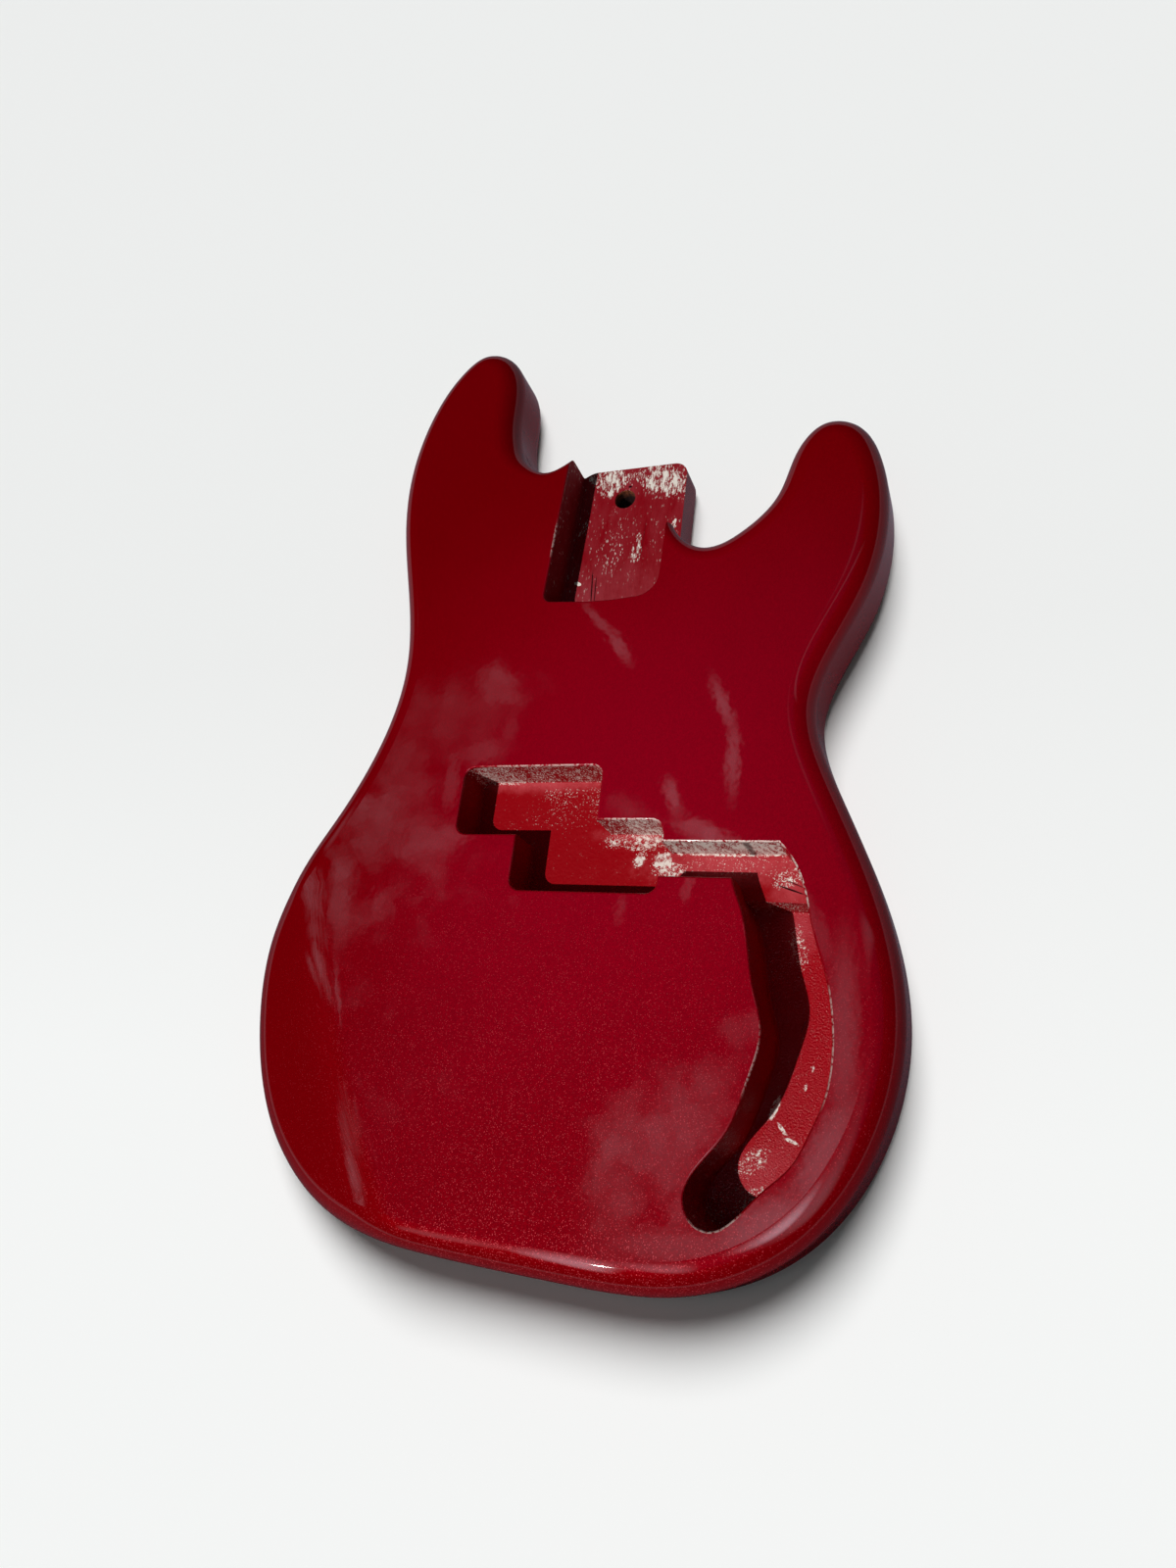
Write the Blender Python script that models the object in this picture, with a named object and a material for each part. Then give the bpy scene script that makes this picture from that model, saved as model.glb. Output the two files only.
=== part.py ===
"""Solid bass guitar body, made as four edge-glued boards.

The origin is on the back face, on the centre line, under the inner end of the neck pocket.
+Y points towards the neck, +X towards the treble side and +Z out of the face. Units are metres.
"""

import math

import bmesh
import bpy
import numpy as np
from mathutils.geometry import delaunay_2d_cdt

MM = 0.001

# Blank and edges. The plan curves below are drawn for the drawn width and length.
BODY_WIDTH = 330.7 * MM
BODY_LENGTH = 503.6 * MM
DRAWN_WIDTH = 330.7 * MM
DRAWN_LENGTH = 503.6 * MM
THICKNESS = 44.45 * MM
EDGE_RADIUS = 12.0 * MM
EDGE_SHARE_OF_TURN = 0.88
GLUE_LINE = 0.3 * MM
SEAM_BASS = -90.0 * MM
SEAM_CENTRE = -12.0 * MM
SEAM_TREBLE = 66.0 * MM

# Outline of the body in millimetres, from the bass lip of the neck pocket to the treble side of the heel
OUTLINE_MM = (
    (-30, 91), (-44, 86), (-54.5, 93), (-63.5, 106), (-69.5, 130), (-72.5, 160.5), (-84, 177),
    (-97, 179.5), (-111.5, 169), (-126.5, 141), (-134, 104), (-132, 64), (-121, 18), (-112.5, -35),
    (-123.5, -88), (-148, -136.5), (-170.5, -182), (-171, -228), (-152.5, -274.5), (-110.5, -308.5),
    (-50, -320.5), (20, -323.5), (72, -321), (118.5, -298.5), (148.5, -255), (157.5, -208),
    (147.5, -155), (124, -100), (113, -60), (123, -27.5), (137, 5), (143, 42), (138.5, 75),
    (125.5, 96), (111, 98.5), (98, 86.5), (88, 57.5), (71, 38), (52, 30), (40.5, 34.5),
)

# Heel: the block under the neck
HEEL_HALF_WIDTH = 32.5 * MM
HEEL_END_Y = 95.5 * MM
HEEL_CORNER_RADIUS = 7.0 * MM
HEEL_EDGE_RADIUS = 5.5 * MM
HEEL_BASS_CURVE_X = -20.0 * MM
HEEL_SIDE_START_Y = 50.0 * MM
HEEL_CENTRE_Y = 70.0 * MM
HEEL_EDGE_REACH = 45.0 * MM
HEEL_EDGE_FADE = 30.0 * MM
HEEL_SPREAD_FADE = 60.0 * MM

# Forearm slope on the face of the lower bass bout
ARM_CREASE_MM = (-121.0, -222.0)
ARM_CREASE_RADIUS = 440.0 * MM
ARM_CREASE_ANGLE = math.radians(23.5)
ARM_EDGE_FLAT = 0.9 * MM
ARM_BLEND = 7.0 * MM
ARM_FADE_START_Y = -85.0 * MM
ARM_FADE_LENGTH = 50.0 * MM

# Belly scoop on the back of the bass waist
BELLY_CENTRE_MM = (-235.0, -30.0)
BELLY_RADIUS = 170.0 * MM
BELLY_EDGE_FLAT = 1.6 * MM
BELLY_BLEND = 10.0 * MM

# Neck pocket
POCKET_DEPTH = 22.0 * MM
POCKET_BASS_X = -32.6 * MM
POCKET_TREBLE_X = 31.5 * MM
POCKET_BASS_TAPER = 0.041
POCKET_TREBLE_TAPER = 0.020
POCKET_CORNER_Y = 1.0 * MM
POCKET_END_BOW = 1.5 * MM
POCKET_BOW_RADIUS = 80.0 * MM
POCKET_CORNER_BASS_RADIUS = 5.0 * MM
POCKET_CORNER_TREBLE_RADIUS = 13.0 * MM
TREBLE_LIP_Y = 39.5 * MM
TREBLE_LIP_SLANT = 4.0 * MM

# Round hole in the pocket floor
NECK_HOLE = (-1.7 * MM, 76.1 * MM)
NECK_HOLE_DIAMETER = 12.0 * MM
NECK_HOLE_FLOOR = 8.5 * MM

# Pickup routs
PICKUP_LENGTH = 75.8 * MM
PICKUP_WIDTH = 36.5 * MM
PICKUP_DEPTH = 22.5 * MM
ROUT_CORNER_RADIUS = 6.35 * MM
BASS_PICKUP = (-23.4 * MM, -110.2 * MM)
TREBLE_PICKUP = (10.1 * MM, -138.2 * MM)

# Wiring channel and control cavity
CHANNEL_TOP_Y = -130.5 * MM
CHANNEL_WIDTH = 17.6 * MM
CHANNEL_DEPTH = 18.9 * MM
CHANNEL_OVERLAP = 15.0 * MM
CONTROL_FLOOR = 8.45 * MM
CONTROL_STEP = 22.5 * MM
CONTROL_START_DIRECTION = (0.0, -1.0)
CONTROL_END_DIRECTION = (-0.7, 0.7)
CONTROL_OUTLINE_MM = (
    (81, -130.5), (81.5, -147), (87, -162), (95, -197), (99.5, -214), (96, -233), (86.5, -258.5),
    (77, -271), (72, -283), (76.5, -293), (85, -295.5), (93, -291), (105, -278), (116, -267),
    (122.5, -254), (127, -243), (129.5, -232), (130, -212), (126, -189), (119.5, -169),
    (114, -148.5), (108.5, -137.5), (102.5, -130.5),
)

# Fineness of the faceted solids
FINE_STEP = 1.0 * MM
LONG_STEP = 9.0 * MM
TURN_STEP = 0.24
TURN_WINDOW = 6
CAVITY_STEP = 7.0 * MM
EDGE_STEPS = 5
ARC_TURN = math.radians(20)
CAP_GRID = 11.0 * MM
CAP_CLEARANCE = 4.4 * MM
CUT_OVERRUN = 20.0 * MM

# Finish seen in the photograph
LACQUER_COLOUR = (0.22, 0.001, 0.006, 1.0)
LACQUER_ROUGHNESS = 0.12
LACQUER_METALLIC = 0.35


def clear_scene():
    """Remove every object of the start-up scene."""
    for obj in list(bpy.data.objects):
        bpy.data.objects.remove(obj, do_unlink=True)


def smoothstep(t):
    """Ease from 0 to 1 with flat ends."""
    t = np.clip(t, 0.0, 1.0)
    return t * t * (3.0 - 2.0 * t)


def soft_ramp(distance, blend):
    """Zero before -blend, the distance itself after +blend, and a parabola between them."""
    middle = (distance + blend) ** 2 / (4.0 * blend)
    return np.where(distance < -blend, 0.0, np.where(distance > blend, distance, middle))


def spline(points, step, start_tangent, end_tangent):
    """Cubic spline through the points with given end directions, read about every step."""
    points = np.asarray(points, float)
    last = len(points) - 1
    lengths = np.hypot(*np.diff(points, axis=0).T)
    knots = np.concatenate(([0.0], np.cumsum(lengths)))
    matrix = np.zeros((last + 1, last + 1))
    right = np.zeros((last + 1, 2))
    matrix[0, 0] = matrix[last, last] = 1.0
    right[0], right[last] = start_tangent, end_tangent
    for i in range(1, last):
        before, after = lengths[i - 1], lengths[i]
        matrix[i, i - 1:i + 2] = after, 2.0 * (before + after), before
        right[i] = 3.0 * (after * (points[i] - points[i - 1]) / before
                          + before * (points[i + 1] - points[i]) / after)
    slopes = np.linalg.solve(matrix, right)
    travel = np.linspace(0.0, knots[-1], max(2, int(round(knots[-1] / step)) + 1))
    span = np.clip(np.searchsorted(knots, travel, side="right") - 1, 0, last - 1)
    length = lengths[span][:, None]
    t = ((travel - knots[span]) / lengths[span])[:, None]
    return (points[span] * (2 * t ** 3 - 3 * t ** 2 + 1) + points[span + 1] * (3 * t ** 2 - 2 * t ** 3)
            + slopes[span] * length * (t ** 3 - 2 * t ** 2 + t)
            + slopes[span + 1] * length * (t ** 3 - t ** 2))


def to_size(points_mm):
    """Drawn plan points in metres, spread to the body's width and length except round the heel."""
    points = np.array(points_mm, float) * MM
    away = (np.hypot(points[:, 0], points[:, 1] - HEEL_CENTRE_Y) - HEEL_EDGE_REACH) / HEEL_SPREAD_FADE
    spread = np.array((BODY_WIDTH / DRAWN_WIDTH - 1.0, BODY_LENGTH / DRAWN_LENGTH - 1.0))
    return points * (1.0 + smoothstep(away)[:, None] * spread)


def arc(centre, radius, start, end):
    """Points of an arc, about one for each ARC_TURN."""
    count = max(2, int(math.ceil(abs(end - start) / ARC_TURN)) + 1)
    angles = np.linspace(start, end, count)
    return np.column_stack((centre[0] + radius * np.cos(angles), centre[1] + radius * np.sin(angles)))


def rounded_polygon(corners):
    """Closed outline through (x, y, radius) corners, each rounded with its own radius."""
    points = []
    for i, (x, y, radius) in enumerate(corners):
        here = np.array((x, y))
        if radius == 0.0:
            points.append(here)
            continue
        before = np.array(corners[i - 1][:2]) - here
        after = np.array(corners[(i + 1) % len(corners)][:2]) - here
        before /= np.linalg.norm(before)
        after /= np.linalg.norm(after)
        half = math.acos(float(np.clip(before @ after, -1.0, 1.0))) / 2.0
        middle = (before + after) / np.linalg.norm(before + after)
        centre = here + middle * radius / math.sin(half)
        first = here + before * radius / math.tan(half) - centre
        final = here + after * radius / math.tan(half) - centre
        start = math.atan2(first[1], first[0])
        turn = math.atan2(final[1], final[0]) - start
        turn = (turn + math.pi) % (2.0 * math.pi) - math.pi
        points.extend(arc(centre, radius, start, start + turn))
    return np.array(points)


def tangents(points):
    """Unit direction of travel at each point of a closed outline."""
    direction = np.roll(points, -1, axis=0) - np.roll(points, 1, axis=0)
    return direction / np.linalg.norm(direction, axis=1)[:, None]


def turn_radius(points):
    """Radius of the outward turn round each point of a closed outline, the tightest of its neighbours."""
    ahead = np.roll(points, -1, axis=0) - points
    behind = np.roll(ahead, 1, axis=0)
    cross = behind[:, 0] * ahead[:, 1] - behind[:, 1] * ahead[:, 0]
    turn = np.arctan2(cross, np.sum(behind * ahead, axis=1))
    gap = (np.hypot(*ahead.T) + np.hypot(*behind.T)) / 2.0
    bend = np.maximum(turn / gap, 1e-3)
    near = range(-TURN_WINDOW, TURN_WINDOW + 1)
    widest = np.max([np.roll(bend, k) for k in near], axis=0)
    return 1.0 / np.mean([np.roll(widest, k) for k in near], axis=0)


def thin_out(points, direction):
    """Which points of a closed outline to keep: LONG_STEP apart where straight, closer where it turns."""
    gap = np.linalg.norm(np.roll(points, -1, axis=0) - points, axis=1)
    after = np.roll(direction, -1, axis=0)
    turn = np.abs(np.arcsin(np.clip(direction[:, 0] * after[:, 1] - direction[:, 1] * after[:, 0], -1, 1)))
    spread = turn + np.roll(turn, 1)
    weight = np.maximum(gap / LONG_STEP, 0.5 * spread / TURN_STEP)
    total = np.concatenate(([0.0], np.cumsum(weight)))
    count = int(math.ceil(total[-1]))
    wanted = np.arange(count) * total[-1] / count
    return np.searchsorted(total, wanted, side="right") - 1


def body_outline():
    """Closed plan outline, counterclockwise from the face, its outward directions and rim roundings."""
    points = np.vstack(((HEEL_BASS_CURVE_X, HEEL_END_Y), to_size(OUTLINE_MM),
                        (HEEL_HALF_WIDTH, HEEL_SIDE_START_Y)))
    curve = spline(points, FINE_STEP, (-1.0, 0.0), (0.0, 1.0))
    corner_x = HEEL_HALF_WIDTH - HEEL_CORNER_RADIUS
    corner_y = HEEL_END_Y - HEEL_CORNER_RADIUS
    side = [(HEEL_HALF_WIDTH, y) for y in np.arange(HEEL_SIDE_START_Y + FINE_STEP, corner_y, FINE_STEP)]
    angles = np.linspace(0.0, math.pi / 2.0, 12)
    corner = [(corner_x + HEEL_CORNER_RADIUS * math.cos(a), corner_y + HEEL_CORNER_RADIUS * math.sin(a))
              for a in angles]
    end = [(x, HEEL_END_Y) for x in np.arange(corner_x - FINE_STEP, HEEL_BASS_CURVE_X, -FINE_STEP)]
    points = np.vstack((curve, side, corner, end))
    direction = tangents(points)
    outward = np.column_stack((direction[:, 1], -direction[:, 0]))
    radius = np.minimum(edge_radius(*points.T), EDGE_SHARE_OF_TURN * turn_radius(points))
    keep = thin_out(points, direction)
    return points[keep], outward[keep], radius[keep]


def arm_run(x, y):
    """Distance past the crease of the forearm slope."""
    crease = to_size([ARM_CREASE_MM])[0]
    centre_x = crease[0] + ARM_CREASE_RADIUS * math.cos(ARM_CREASE_ANGLE)
    centre_y = crease[1] + ARM_CREASE_RADIUS * math.sin(ARM_CREASE_ANGLE)
    return np.hypot(x - centre_x, y - centre_y) - ARM_CREASE_RADIUS


def arm_fade(y):
    """1 on the lower bout, 0 from the waist upwards."""
    return smoothstep((ARM_FADE_START_Y - y) / ARM_FADE_LENGTH)


def belly_run(x, y):
    """Distance inside the rim of the belly scoop."""
    centre = to_size([BELLY_CENTRE_MM])[0]
    return BELLY_RADIUS - np.hypot(x - centre[0], y - centre[1])


def near_arm_slope(x, y):
    """True on the forearm slope and one grid step round it."""
    return arm_run(x, y) > -ARM_BLEND - CAP_GRID and y < ARM_FADE_START_Y + CAP_GRID


def near_belly_scoop(x, y):
    """True in the belly scoop and one grid step round it."""
    return belly_run(x, y) > -BELLY_BLEND - CAP_GRID


def contour_slopes(outline):
    """Slopes that leave the stated flats between the two roundings at the thinnest places of the rim."""
    x, y = outline.T
    spare = THICKNESS - 2.0 * EDGE_RADIUS
    arm = (spare - ARM_EDGE_FLAT) / np.max(arm_run(x, y) * arm_fade(y))
    belly = (spare - BELLY_EDGE_FLAT) / np.max(belly_run(x, y))
    return arm, belly


def edge_radius(x, y):
    """Rounding of the rim: small round the heel and its lips, full everywhere else."""
    away = (np.hypot(x, y - HEEL_CENTRE_Y) - HEEL_EDGE_REACH) / HEEL_EDGE_FADE
    return HEEL_EDGE_RADIUS + (EDGE_RADIUS - HEEL_EDGE_RADIUS) * smoothstep(away)


def mesh_object(name, vertices, faces, cutter=False):
    """Object from plain vertices and faces, with its normals turned outwards."""
    mesh = bpy.data.meshes.new(name)
    mesh.from_pydata([tuple(map(float, v)) for v in vertices], [], faces)
    work = bmesh.new()
    work.from_mesh(mesh)
    bmesh.ops.remove_doubles(work, verts=work.verts, dist=1e-6)
    bmesh.ops.recalc_face_normals(work, faces=work.faces)
    work.to_mesh(mesh)
    work.free()
    obj = bpy.data.objects.new(name, mesh)
    bpy.context.scene.collection.objects.link(obj)
    if cutter:
        obj.hide_render = True
        obj.display_type = "WIRE"
    return obj


def cap(ring, height, needs_grid):
    """Vertices past the ring and triangles that fill it, with grid points where the surface slopes."""
    low, high = ring.min(axis=0), ring.max(axis=0)
    grid = [(x, y) for x in np.arange(low[0], high[0], CAP_GRID)
            for y in np.arange(low[1], high[1], CAP_GRID)]
    inside = [point for point in grid if needs_grid(*point) and winding(ring, point) and
              np.min(np.hypot(*(ring - point).T)) > CAP_CLEARANCE]
    points = [tuple(p) for p in ring] + inside
    result = delaunay_2d_cdt(points, [], [list(range(len(ring)))], 1, 1e-7)
    found, triangles, origins = result[0], result[2], result[3]
    index = {}
    extra = []
    for i, source in enumerate(origins):
        if source and source[0] < len(ring):
            index[i] = source[0]
        else:
            index[i] = len(ring) + len(extra)
            extra.append((found[i][0], found[i][1], float(height(found[i][0], found[i][1]))))
    return extra, [tuple(index[i] for i in triangle) for triangle in triangles]


def winding(ring, point):
    """True where the point lies inside the closed ring."""
    x, y = point
    ahead = np.roll(ring, -1, axis=0)
    crosses = (ring[:, 1] > y) != (ahead[:, 1] > y)
    with np.errstate(divide="ignore", invalid="ignore"):
        at = ring[:, 0] + (y - ring[:, 1]) * (ahead[:, 0] - ring[:, 0]) / (ahead[:, 1] - ring[:, 1])
    return int(np.sum(crosses & (x < at))) % 2 == 1


def body_form():
    """The whole body before its routs: rounded rim, forearm slope and belly scoop."""
    outline, outward, radius = body_outline()
    arm_slope, belly_slope = contour_slopes(outline)

    def face_height(x, y):
        return THICKNESS - arm_slope * soft_ramp(arm_run(x, y), ARM_BLEND) * arm_fade(y)

    def back_height(x, y):
        return belly_slope * soft_ramp(belly_run(x, y), BELLY_BLEND)

    rings = []
    for angle in np.linspace(math.pi / 2.0, 0.0, EDGE_STEPS + 1):
        place = outline - outward * (radius * (1.0 - math.cos(angle)))[:, None]
        z = face_height(*place.T) - radius * (1.0 - math.sin(angle))
        rings.append(np.column_stack((place, z)))
    for angle in np.linspace(0.0, math.pi / 2.0, EDGE_STEPS + 1):
        place = outline - outward * (radius * (1.0 - math.cos(angle)))[:, None]
        z = back_height(*place.T) + radius * (1.0 - math.sin(angle))
        rings.append(np.column_stack((place, z)))
    count = len(outline)
    vertices = [tuple(point) for ring in rings for point in ring]
    faces = []
    for row in range(len(rings) - 1):
        for i in range(count):
            j = (i + 1) % count
            faces.append((row * count + i, row * count + j, (row + 1) * count + j, (row + 1) * count + i))
    face_cap, face_triangles = cap(rings[0][:, :2], face_height, near_arm_slope)
    back_cap, back_triangles = cap(rings[-1][:, :2], back_height, near_belly_scoop)
    face_start = len(vertices)
    vertices += face_cap
    back_start = len(vertices)
    vertices += back_cap
    last_ring = (len(rings) - 1) * count
    faces += [tuple(i if i < count else face_start + i - count for i in t) for t in face_triangles]
    faces += [tuple(last_ring + i if i < count else back_start + i - count for i in t)
              for t in back_triangles]
    return mesh_object("body_form", vertices, faces, cutter=True)


def prism(name, outline, bottom, top=THICKNESS + CUT_OVERRUN):
    """Straight cutter over a closed outline."""
    count = len(outline)
    vertices = [(x, y, bottom) for x, y in outline] + [(x, y, top) for x, y in outline]
    faces = [tuple(range(count)), tuple(range(count, 2 * count))]
    faces += [(i, (i + 1) % count, count + (i + 1) % count, count + i) for i in range(count)]
    return mesh_object(name, vertices, faces, cutter=True)


def neck_pocket():
    """Slot for the neck heel, open past the end of the heel and beside the treble lip."""
    open_end = HEEL_END_Y + CUT_OVERRUN
    open_side = HEEL_HALF_WIDTH + CUT_OVERRUN
    bow_x = (POCKET_BASS_X + POCKET_TREBLE_X) / 2.0
    lip_x = POCKET_TREBLE_X + POCKET_TREBLE_TAPER * TREBLE_LIP_Y
    outline = rounded_polygon((
        (POCKET_BASS_X, POCKET_CORNER_Y, POCKET_CORNER_BASS_RADIUS),
        (bow_x, -POCKET_END_BOW, POCKET_BOW_RADIUS),
        (POCKET_TREBLE_X, POCKET_CORNER_Y, POCKET_CORNER_TREBLE_RADIUS),
        (lip_x, TREBLE_LIP_Y, 0.0),
        (HEEL_HALF_WIDTH, TREBLE_LIP_Y + TREBLE_LIP_SLANT, 0.0),
        (open_side, TREBLE_LIP_Y + TREBLE_LIP_SLANT, 0.0),
        (open_side, open_end, 0.0),
        (POCKET_BASS_X + POCKET_BASS_TAPER * open_end, open_end, 0.0),
    ))
    return prism("cut_neck_pocket", outline, THICKNESS - POCKET_DEPTH)


def neck_hole():
    """Blind round hole in the pocket floor."""
    outline = arc(NECK_HOLE, NECK_HOLE_DIAMETER / 2.0, 0.0, 2.0 * math.pi)[:-1]
    return prism("cut_neck_hole", outline, NECK_HOLE_FLOOR)


def pickup_rout(name, centre):
    """Rectangular rout with a cutter's corner radius."""
    x, y = centre
    half_length, half_width = PICKUP_LENGTH / 2.0, PICKUP_WIDTH / 2.0
    corners = ((-1, -1), (1, -1), (1, 1), (-1, 1))
    outline = rounded_polygon([(x + sx * half_length, y + sy * half_width, ROUT_CORNER_RADIUS)
                               for sx, sy in corners])
    return prism(name, outline, THICKNESS - PICKUP_DEPTH)


def control_points():
    """Drawn points of the control cavity, with its top edge in line with the wiring channel's."""
    points = to_size(CONTROL_OUTLINE_MM)
    points[:, 1] += CHANNEL_TOP_Y - points[0, 1]
    return points


def wiring_channel():
    """Slot from the treble pickup rout into the control cavity."""
    low = CHANNEL_TOP_Y - CHANNEL_WIDTH
    start = TREBLE_PICKUP[0] + PICKUP_LENGTH / 2.0 - CHANNEL_OVERLAP
    end = control_points()[0, 0] + CHANNEL_OVERLAP
    outline = ((start, low), (end, low), (end, CHANNEL_TOP_Y), (start, CHANNEL_TOP_Y))
    return prism("cut_wiring_channel", outline, THICKNESS - CHANNEL_DEPTH)


def control_cavity():
    """Two cutters over one outline: as deep as the channel at its top end, and down to its floor below."""
    outline = spline(control_points(), CAVITY_STEP, CONTROL_START_DIRECTION, CONTROL_END_DIRECTION)
    step_y = CHANNEL_TOP_Y - CONTROL_STEP
    shallow = prism("cut_control_shallow", outline, THICKNESS - CHANNEL_DEPTH)
    deep = []
    for here, after in zip(outline, np.roll(outline, -1, axis=0)):
        if here[1] <= step_y:
            deep.append(here)
        if (here[1] <= step_y) != (after[1] <= step_y):
            share = (step_y - here[1]) / (after[1] - here[1])
            deep.append(here + share * (after - here))
    return [shallow, prism("cut_control_deep", np.array(deep), CONTROL_FLOOR)]


def lacquer(name):
    """Clear gloss over a metallic red base."""
    material = bpy.data.materials.new(name)
    material.use_nodes = True
    shader = material.node_tree.nodes["Principled BSDF"]
    shader.inputs["Base Color"].default_value = LACQUER_COLOUR
    shader.inputs["Roughness"].default_value = LACQUER_ROUGHNESS
    shader.inputs["Metallic"].default_value = LACQUER_METALLIC
    return material


def board(name, bass_seam, treble_seam, form, cutters):
    """One board of the blank: a slab between two drawn seams, cut to the body's form and then routed."""
    widening = BODY_WIDTH / DRAWN_WIDTH
    spread = np.array([vertex.co[:] for vertex in form.data.vertices])
    low = spread.min(axis=0) - CUT_OVERRUN
    high = spread.max(axis=0) + CUT_OVERRUN
    if bass_seam is not None:
        low[0] = bass_seam * widening + GLUE_LINE / 2.0
    if treble_seam is not None:
        high[0] = treble_seam * widening - GLUE_LINE / 2.0
    corners = [(x, y, z) for x in (low[0], high[0]) for y in (low[1], high[1]) for z in (low[2], high[2])]
    faces = ((0, 1, 3, 2), (4, 6, 7, 5), (0, 4, 5, 1), (2, 3, 7, 6), (0, 2, 6, 4), (1, 5, 7, 3))
    obj = mesh_object(name, corners, faces)
    obj.data.materials.append(lacquer(name + "_finish"))
    shape = obj.modifiers.new("body_form", "BOOLEAN")
    shape.operation = "INTERSECT"
    shape.solver = "EXACT"
    shape.object = form
    for cutter in cutters:
        cut = obj.modifiers.new(cutter.name, "BOOLEAN")
        cut.operation = "DIFFERENCE"
        cut.solver = "EXACT"
        cut.object = cutter


def build():
    """The four boards of the body."""
    clear_scene()
    form = body_form()
    pocket = neck_pocket()
    hole = neck_hole()
    bass_rout = pickup_rout("cut_bass_pickup", BASS_PICKUP)
    treble_rout = pickup_rout("cut_treble_pickup", TREBLE_PICKUP)
    channel = wiring_channel()
    control = control_cavity()
    board("bass_side_board", None, SEAM_BASS, form, [])
    board("bass_centre_board", SEAM_BASS, SEAM_CENTRE, form, [pocket, bass_rout, treble_rout])
    board("treble_centre_board", SEAM_CENTRE, SEAM_TREBLE, form,
          [pocket, hole, bass_rout, treble_rout, channel])
    board("treble_side_board", SEAM_TREBLE, None, form, [channel] + control)


build()
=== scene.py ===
"""Looks of a solid bass guitar body: alder boards under candy red lacquer, on a pale floor.

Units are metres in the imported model's frame: +X treble side, +Y towards the neck, +Z out of the face.
"""

import math
from functools import partial

import bmesh
import bpy
import numpy as np
from bpy.props import FloatProperty, FloatVectorProperty, PointerProperty
from mathutils import Matrix, Vector
from mathutils.geometry import delaunay_2d_cdt


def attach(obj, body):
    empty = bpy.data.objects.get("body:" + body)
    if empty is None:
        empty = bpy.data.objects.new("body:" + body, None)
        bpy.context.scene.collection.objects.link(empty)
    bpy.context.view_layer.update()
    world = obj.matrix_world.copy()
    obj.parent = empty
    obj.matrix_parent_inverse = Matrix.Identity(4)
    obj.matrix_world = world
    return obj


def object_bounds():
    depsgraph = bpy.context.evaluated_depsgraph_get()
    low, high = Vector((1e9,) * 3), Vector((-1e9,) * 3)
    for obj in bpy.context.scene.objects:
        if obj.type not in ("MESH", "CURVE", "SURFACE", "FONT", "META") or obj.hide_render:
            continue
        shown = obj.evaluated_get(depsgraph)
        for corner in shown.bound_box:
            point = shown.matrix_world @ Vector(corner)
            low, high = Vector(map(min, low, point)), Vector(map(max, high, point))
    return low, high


bl_info = {
    "name": "Bass guitar body",
    "version": (1, 0, 0),
    "blender": (4, 5, 0),
    "location": "3D View > Sidebar > Bass body",
    "description": "Dresses the four boards of a bass guitar body and lacquers them",
    "category": "Object",
}

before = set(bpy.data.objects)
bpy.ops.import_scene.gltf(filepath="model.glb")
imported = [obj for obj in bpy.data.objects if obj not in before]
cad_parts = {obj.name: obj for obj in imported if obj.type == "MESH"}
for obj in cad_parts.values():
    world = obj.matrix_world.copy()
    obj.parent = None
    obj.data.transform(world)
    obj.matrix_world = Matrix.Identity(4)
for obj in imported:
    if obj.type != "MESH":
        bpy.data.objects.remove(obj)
MODEL_LOW, MODEL_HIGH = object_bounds()

MM = 0.001
FACE_Z = MODEL_HIGH.z
BOARDS = ("bass_side_board", "bass_centre_board", "treble_centre_board", "treble_side_board")

# Outline of the body in millimetres, from the bass lip of the neck pocket to the treble side of the heel
OUTLINE_MM = (
    (-30, 91), (-44, 86), (-54.5, 93), (-63.5, 106), (-69.5, 130), (-72.5, 160.5), (-84, 177),
    (-97, 179.5), (-111.5, 169), (-126.5, 141), (-134, 104), (-132, 64), (-121, 18), (-112.5, -35),
    (-123.5, -88), (-148, -136.5), (-170.5, -182), (-171, -228), (-152.5, -274.5), (-110.5, -308.5),
    (-50, -320.5), (20, -323.5), (72, -321), (118.5, -298.5), (148.5, -255), (157.5, -208),
    (147.5, -155), (124, -100), (113, -60), (123, -27.5), (137, 5), (143, 42), (138.5, 75),
    (125.5, 96), (111, 98.5), (98, 86.5), (88, 57.5), (71, 38), (52, 30), (40.5, 34.5),
)
HEEL_HALF_WIDTH = 32.5 * MM
HEEL_END_Y = 95.5 * MM
HEEL_CORNER_RADIUS = 7.0 * MM
HEEL_EDGE_RADIUS = 5.5 * MM
HEEL_CORNER_POINTS = 12
HEEL_BASS_CURVE_X = -20.0 * MM
HEEL_SIDE_START_Y = 50.0 * MM
HEEL_CENTRE_Y = 70.0 * MM
HEEL_EDGE_REACH = 45.0 * MM
HEEL_EDGE_FADE = 30.0 * MM
EDGE_RADIUS = 12.0 * MM
EDGE_SHARE_OF_TURN = 0.88

# Where the flat face starts, as a share of the rim's rounding: the narrow ring between them keeps the
# mirror image on the face straight
FLAT_BORDER = 1.07

# Forearm slope on the face, with a crease that the lacquer softens, and belly scoop on the back
ARM_CREASE = (-121.0 * MM, -222.0 * MM)
ARM_CREASE_RADIUS = 440.0 * MM
ARM_CREASE_ANGLE = math.radians(23.5)
ARM_EDGE_FLAT = 0.9 * MM
ARM_BLEND = 10.0 * MM
ARM_FADE_START_Y = -85.0 * MM
ARM_FADE_LENGTH = 50.0 * MM
BELLY_CENTRE = (-235.0 * MM, -30.0 * MM)
BELLY_RADIUS = 170.0 * MM
BELLY_EDGE_FLAT = 1.6 * MM
BELLY_BLEND = 10.0 * MM

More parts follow.
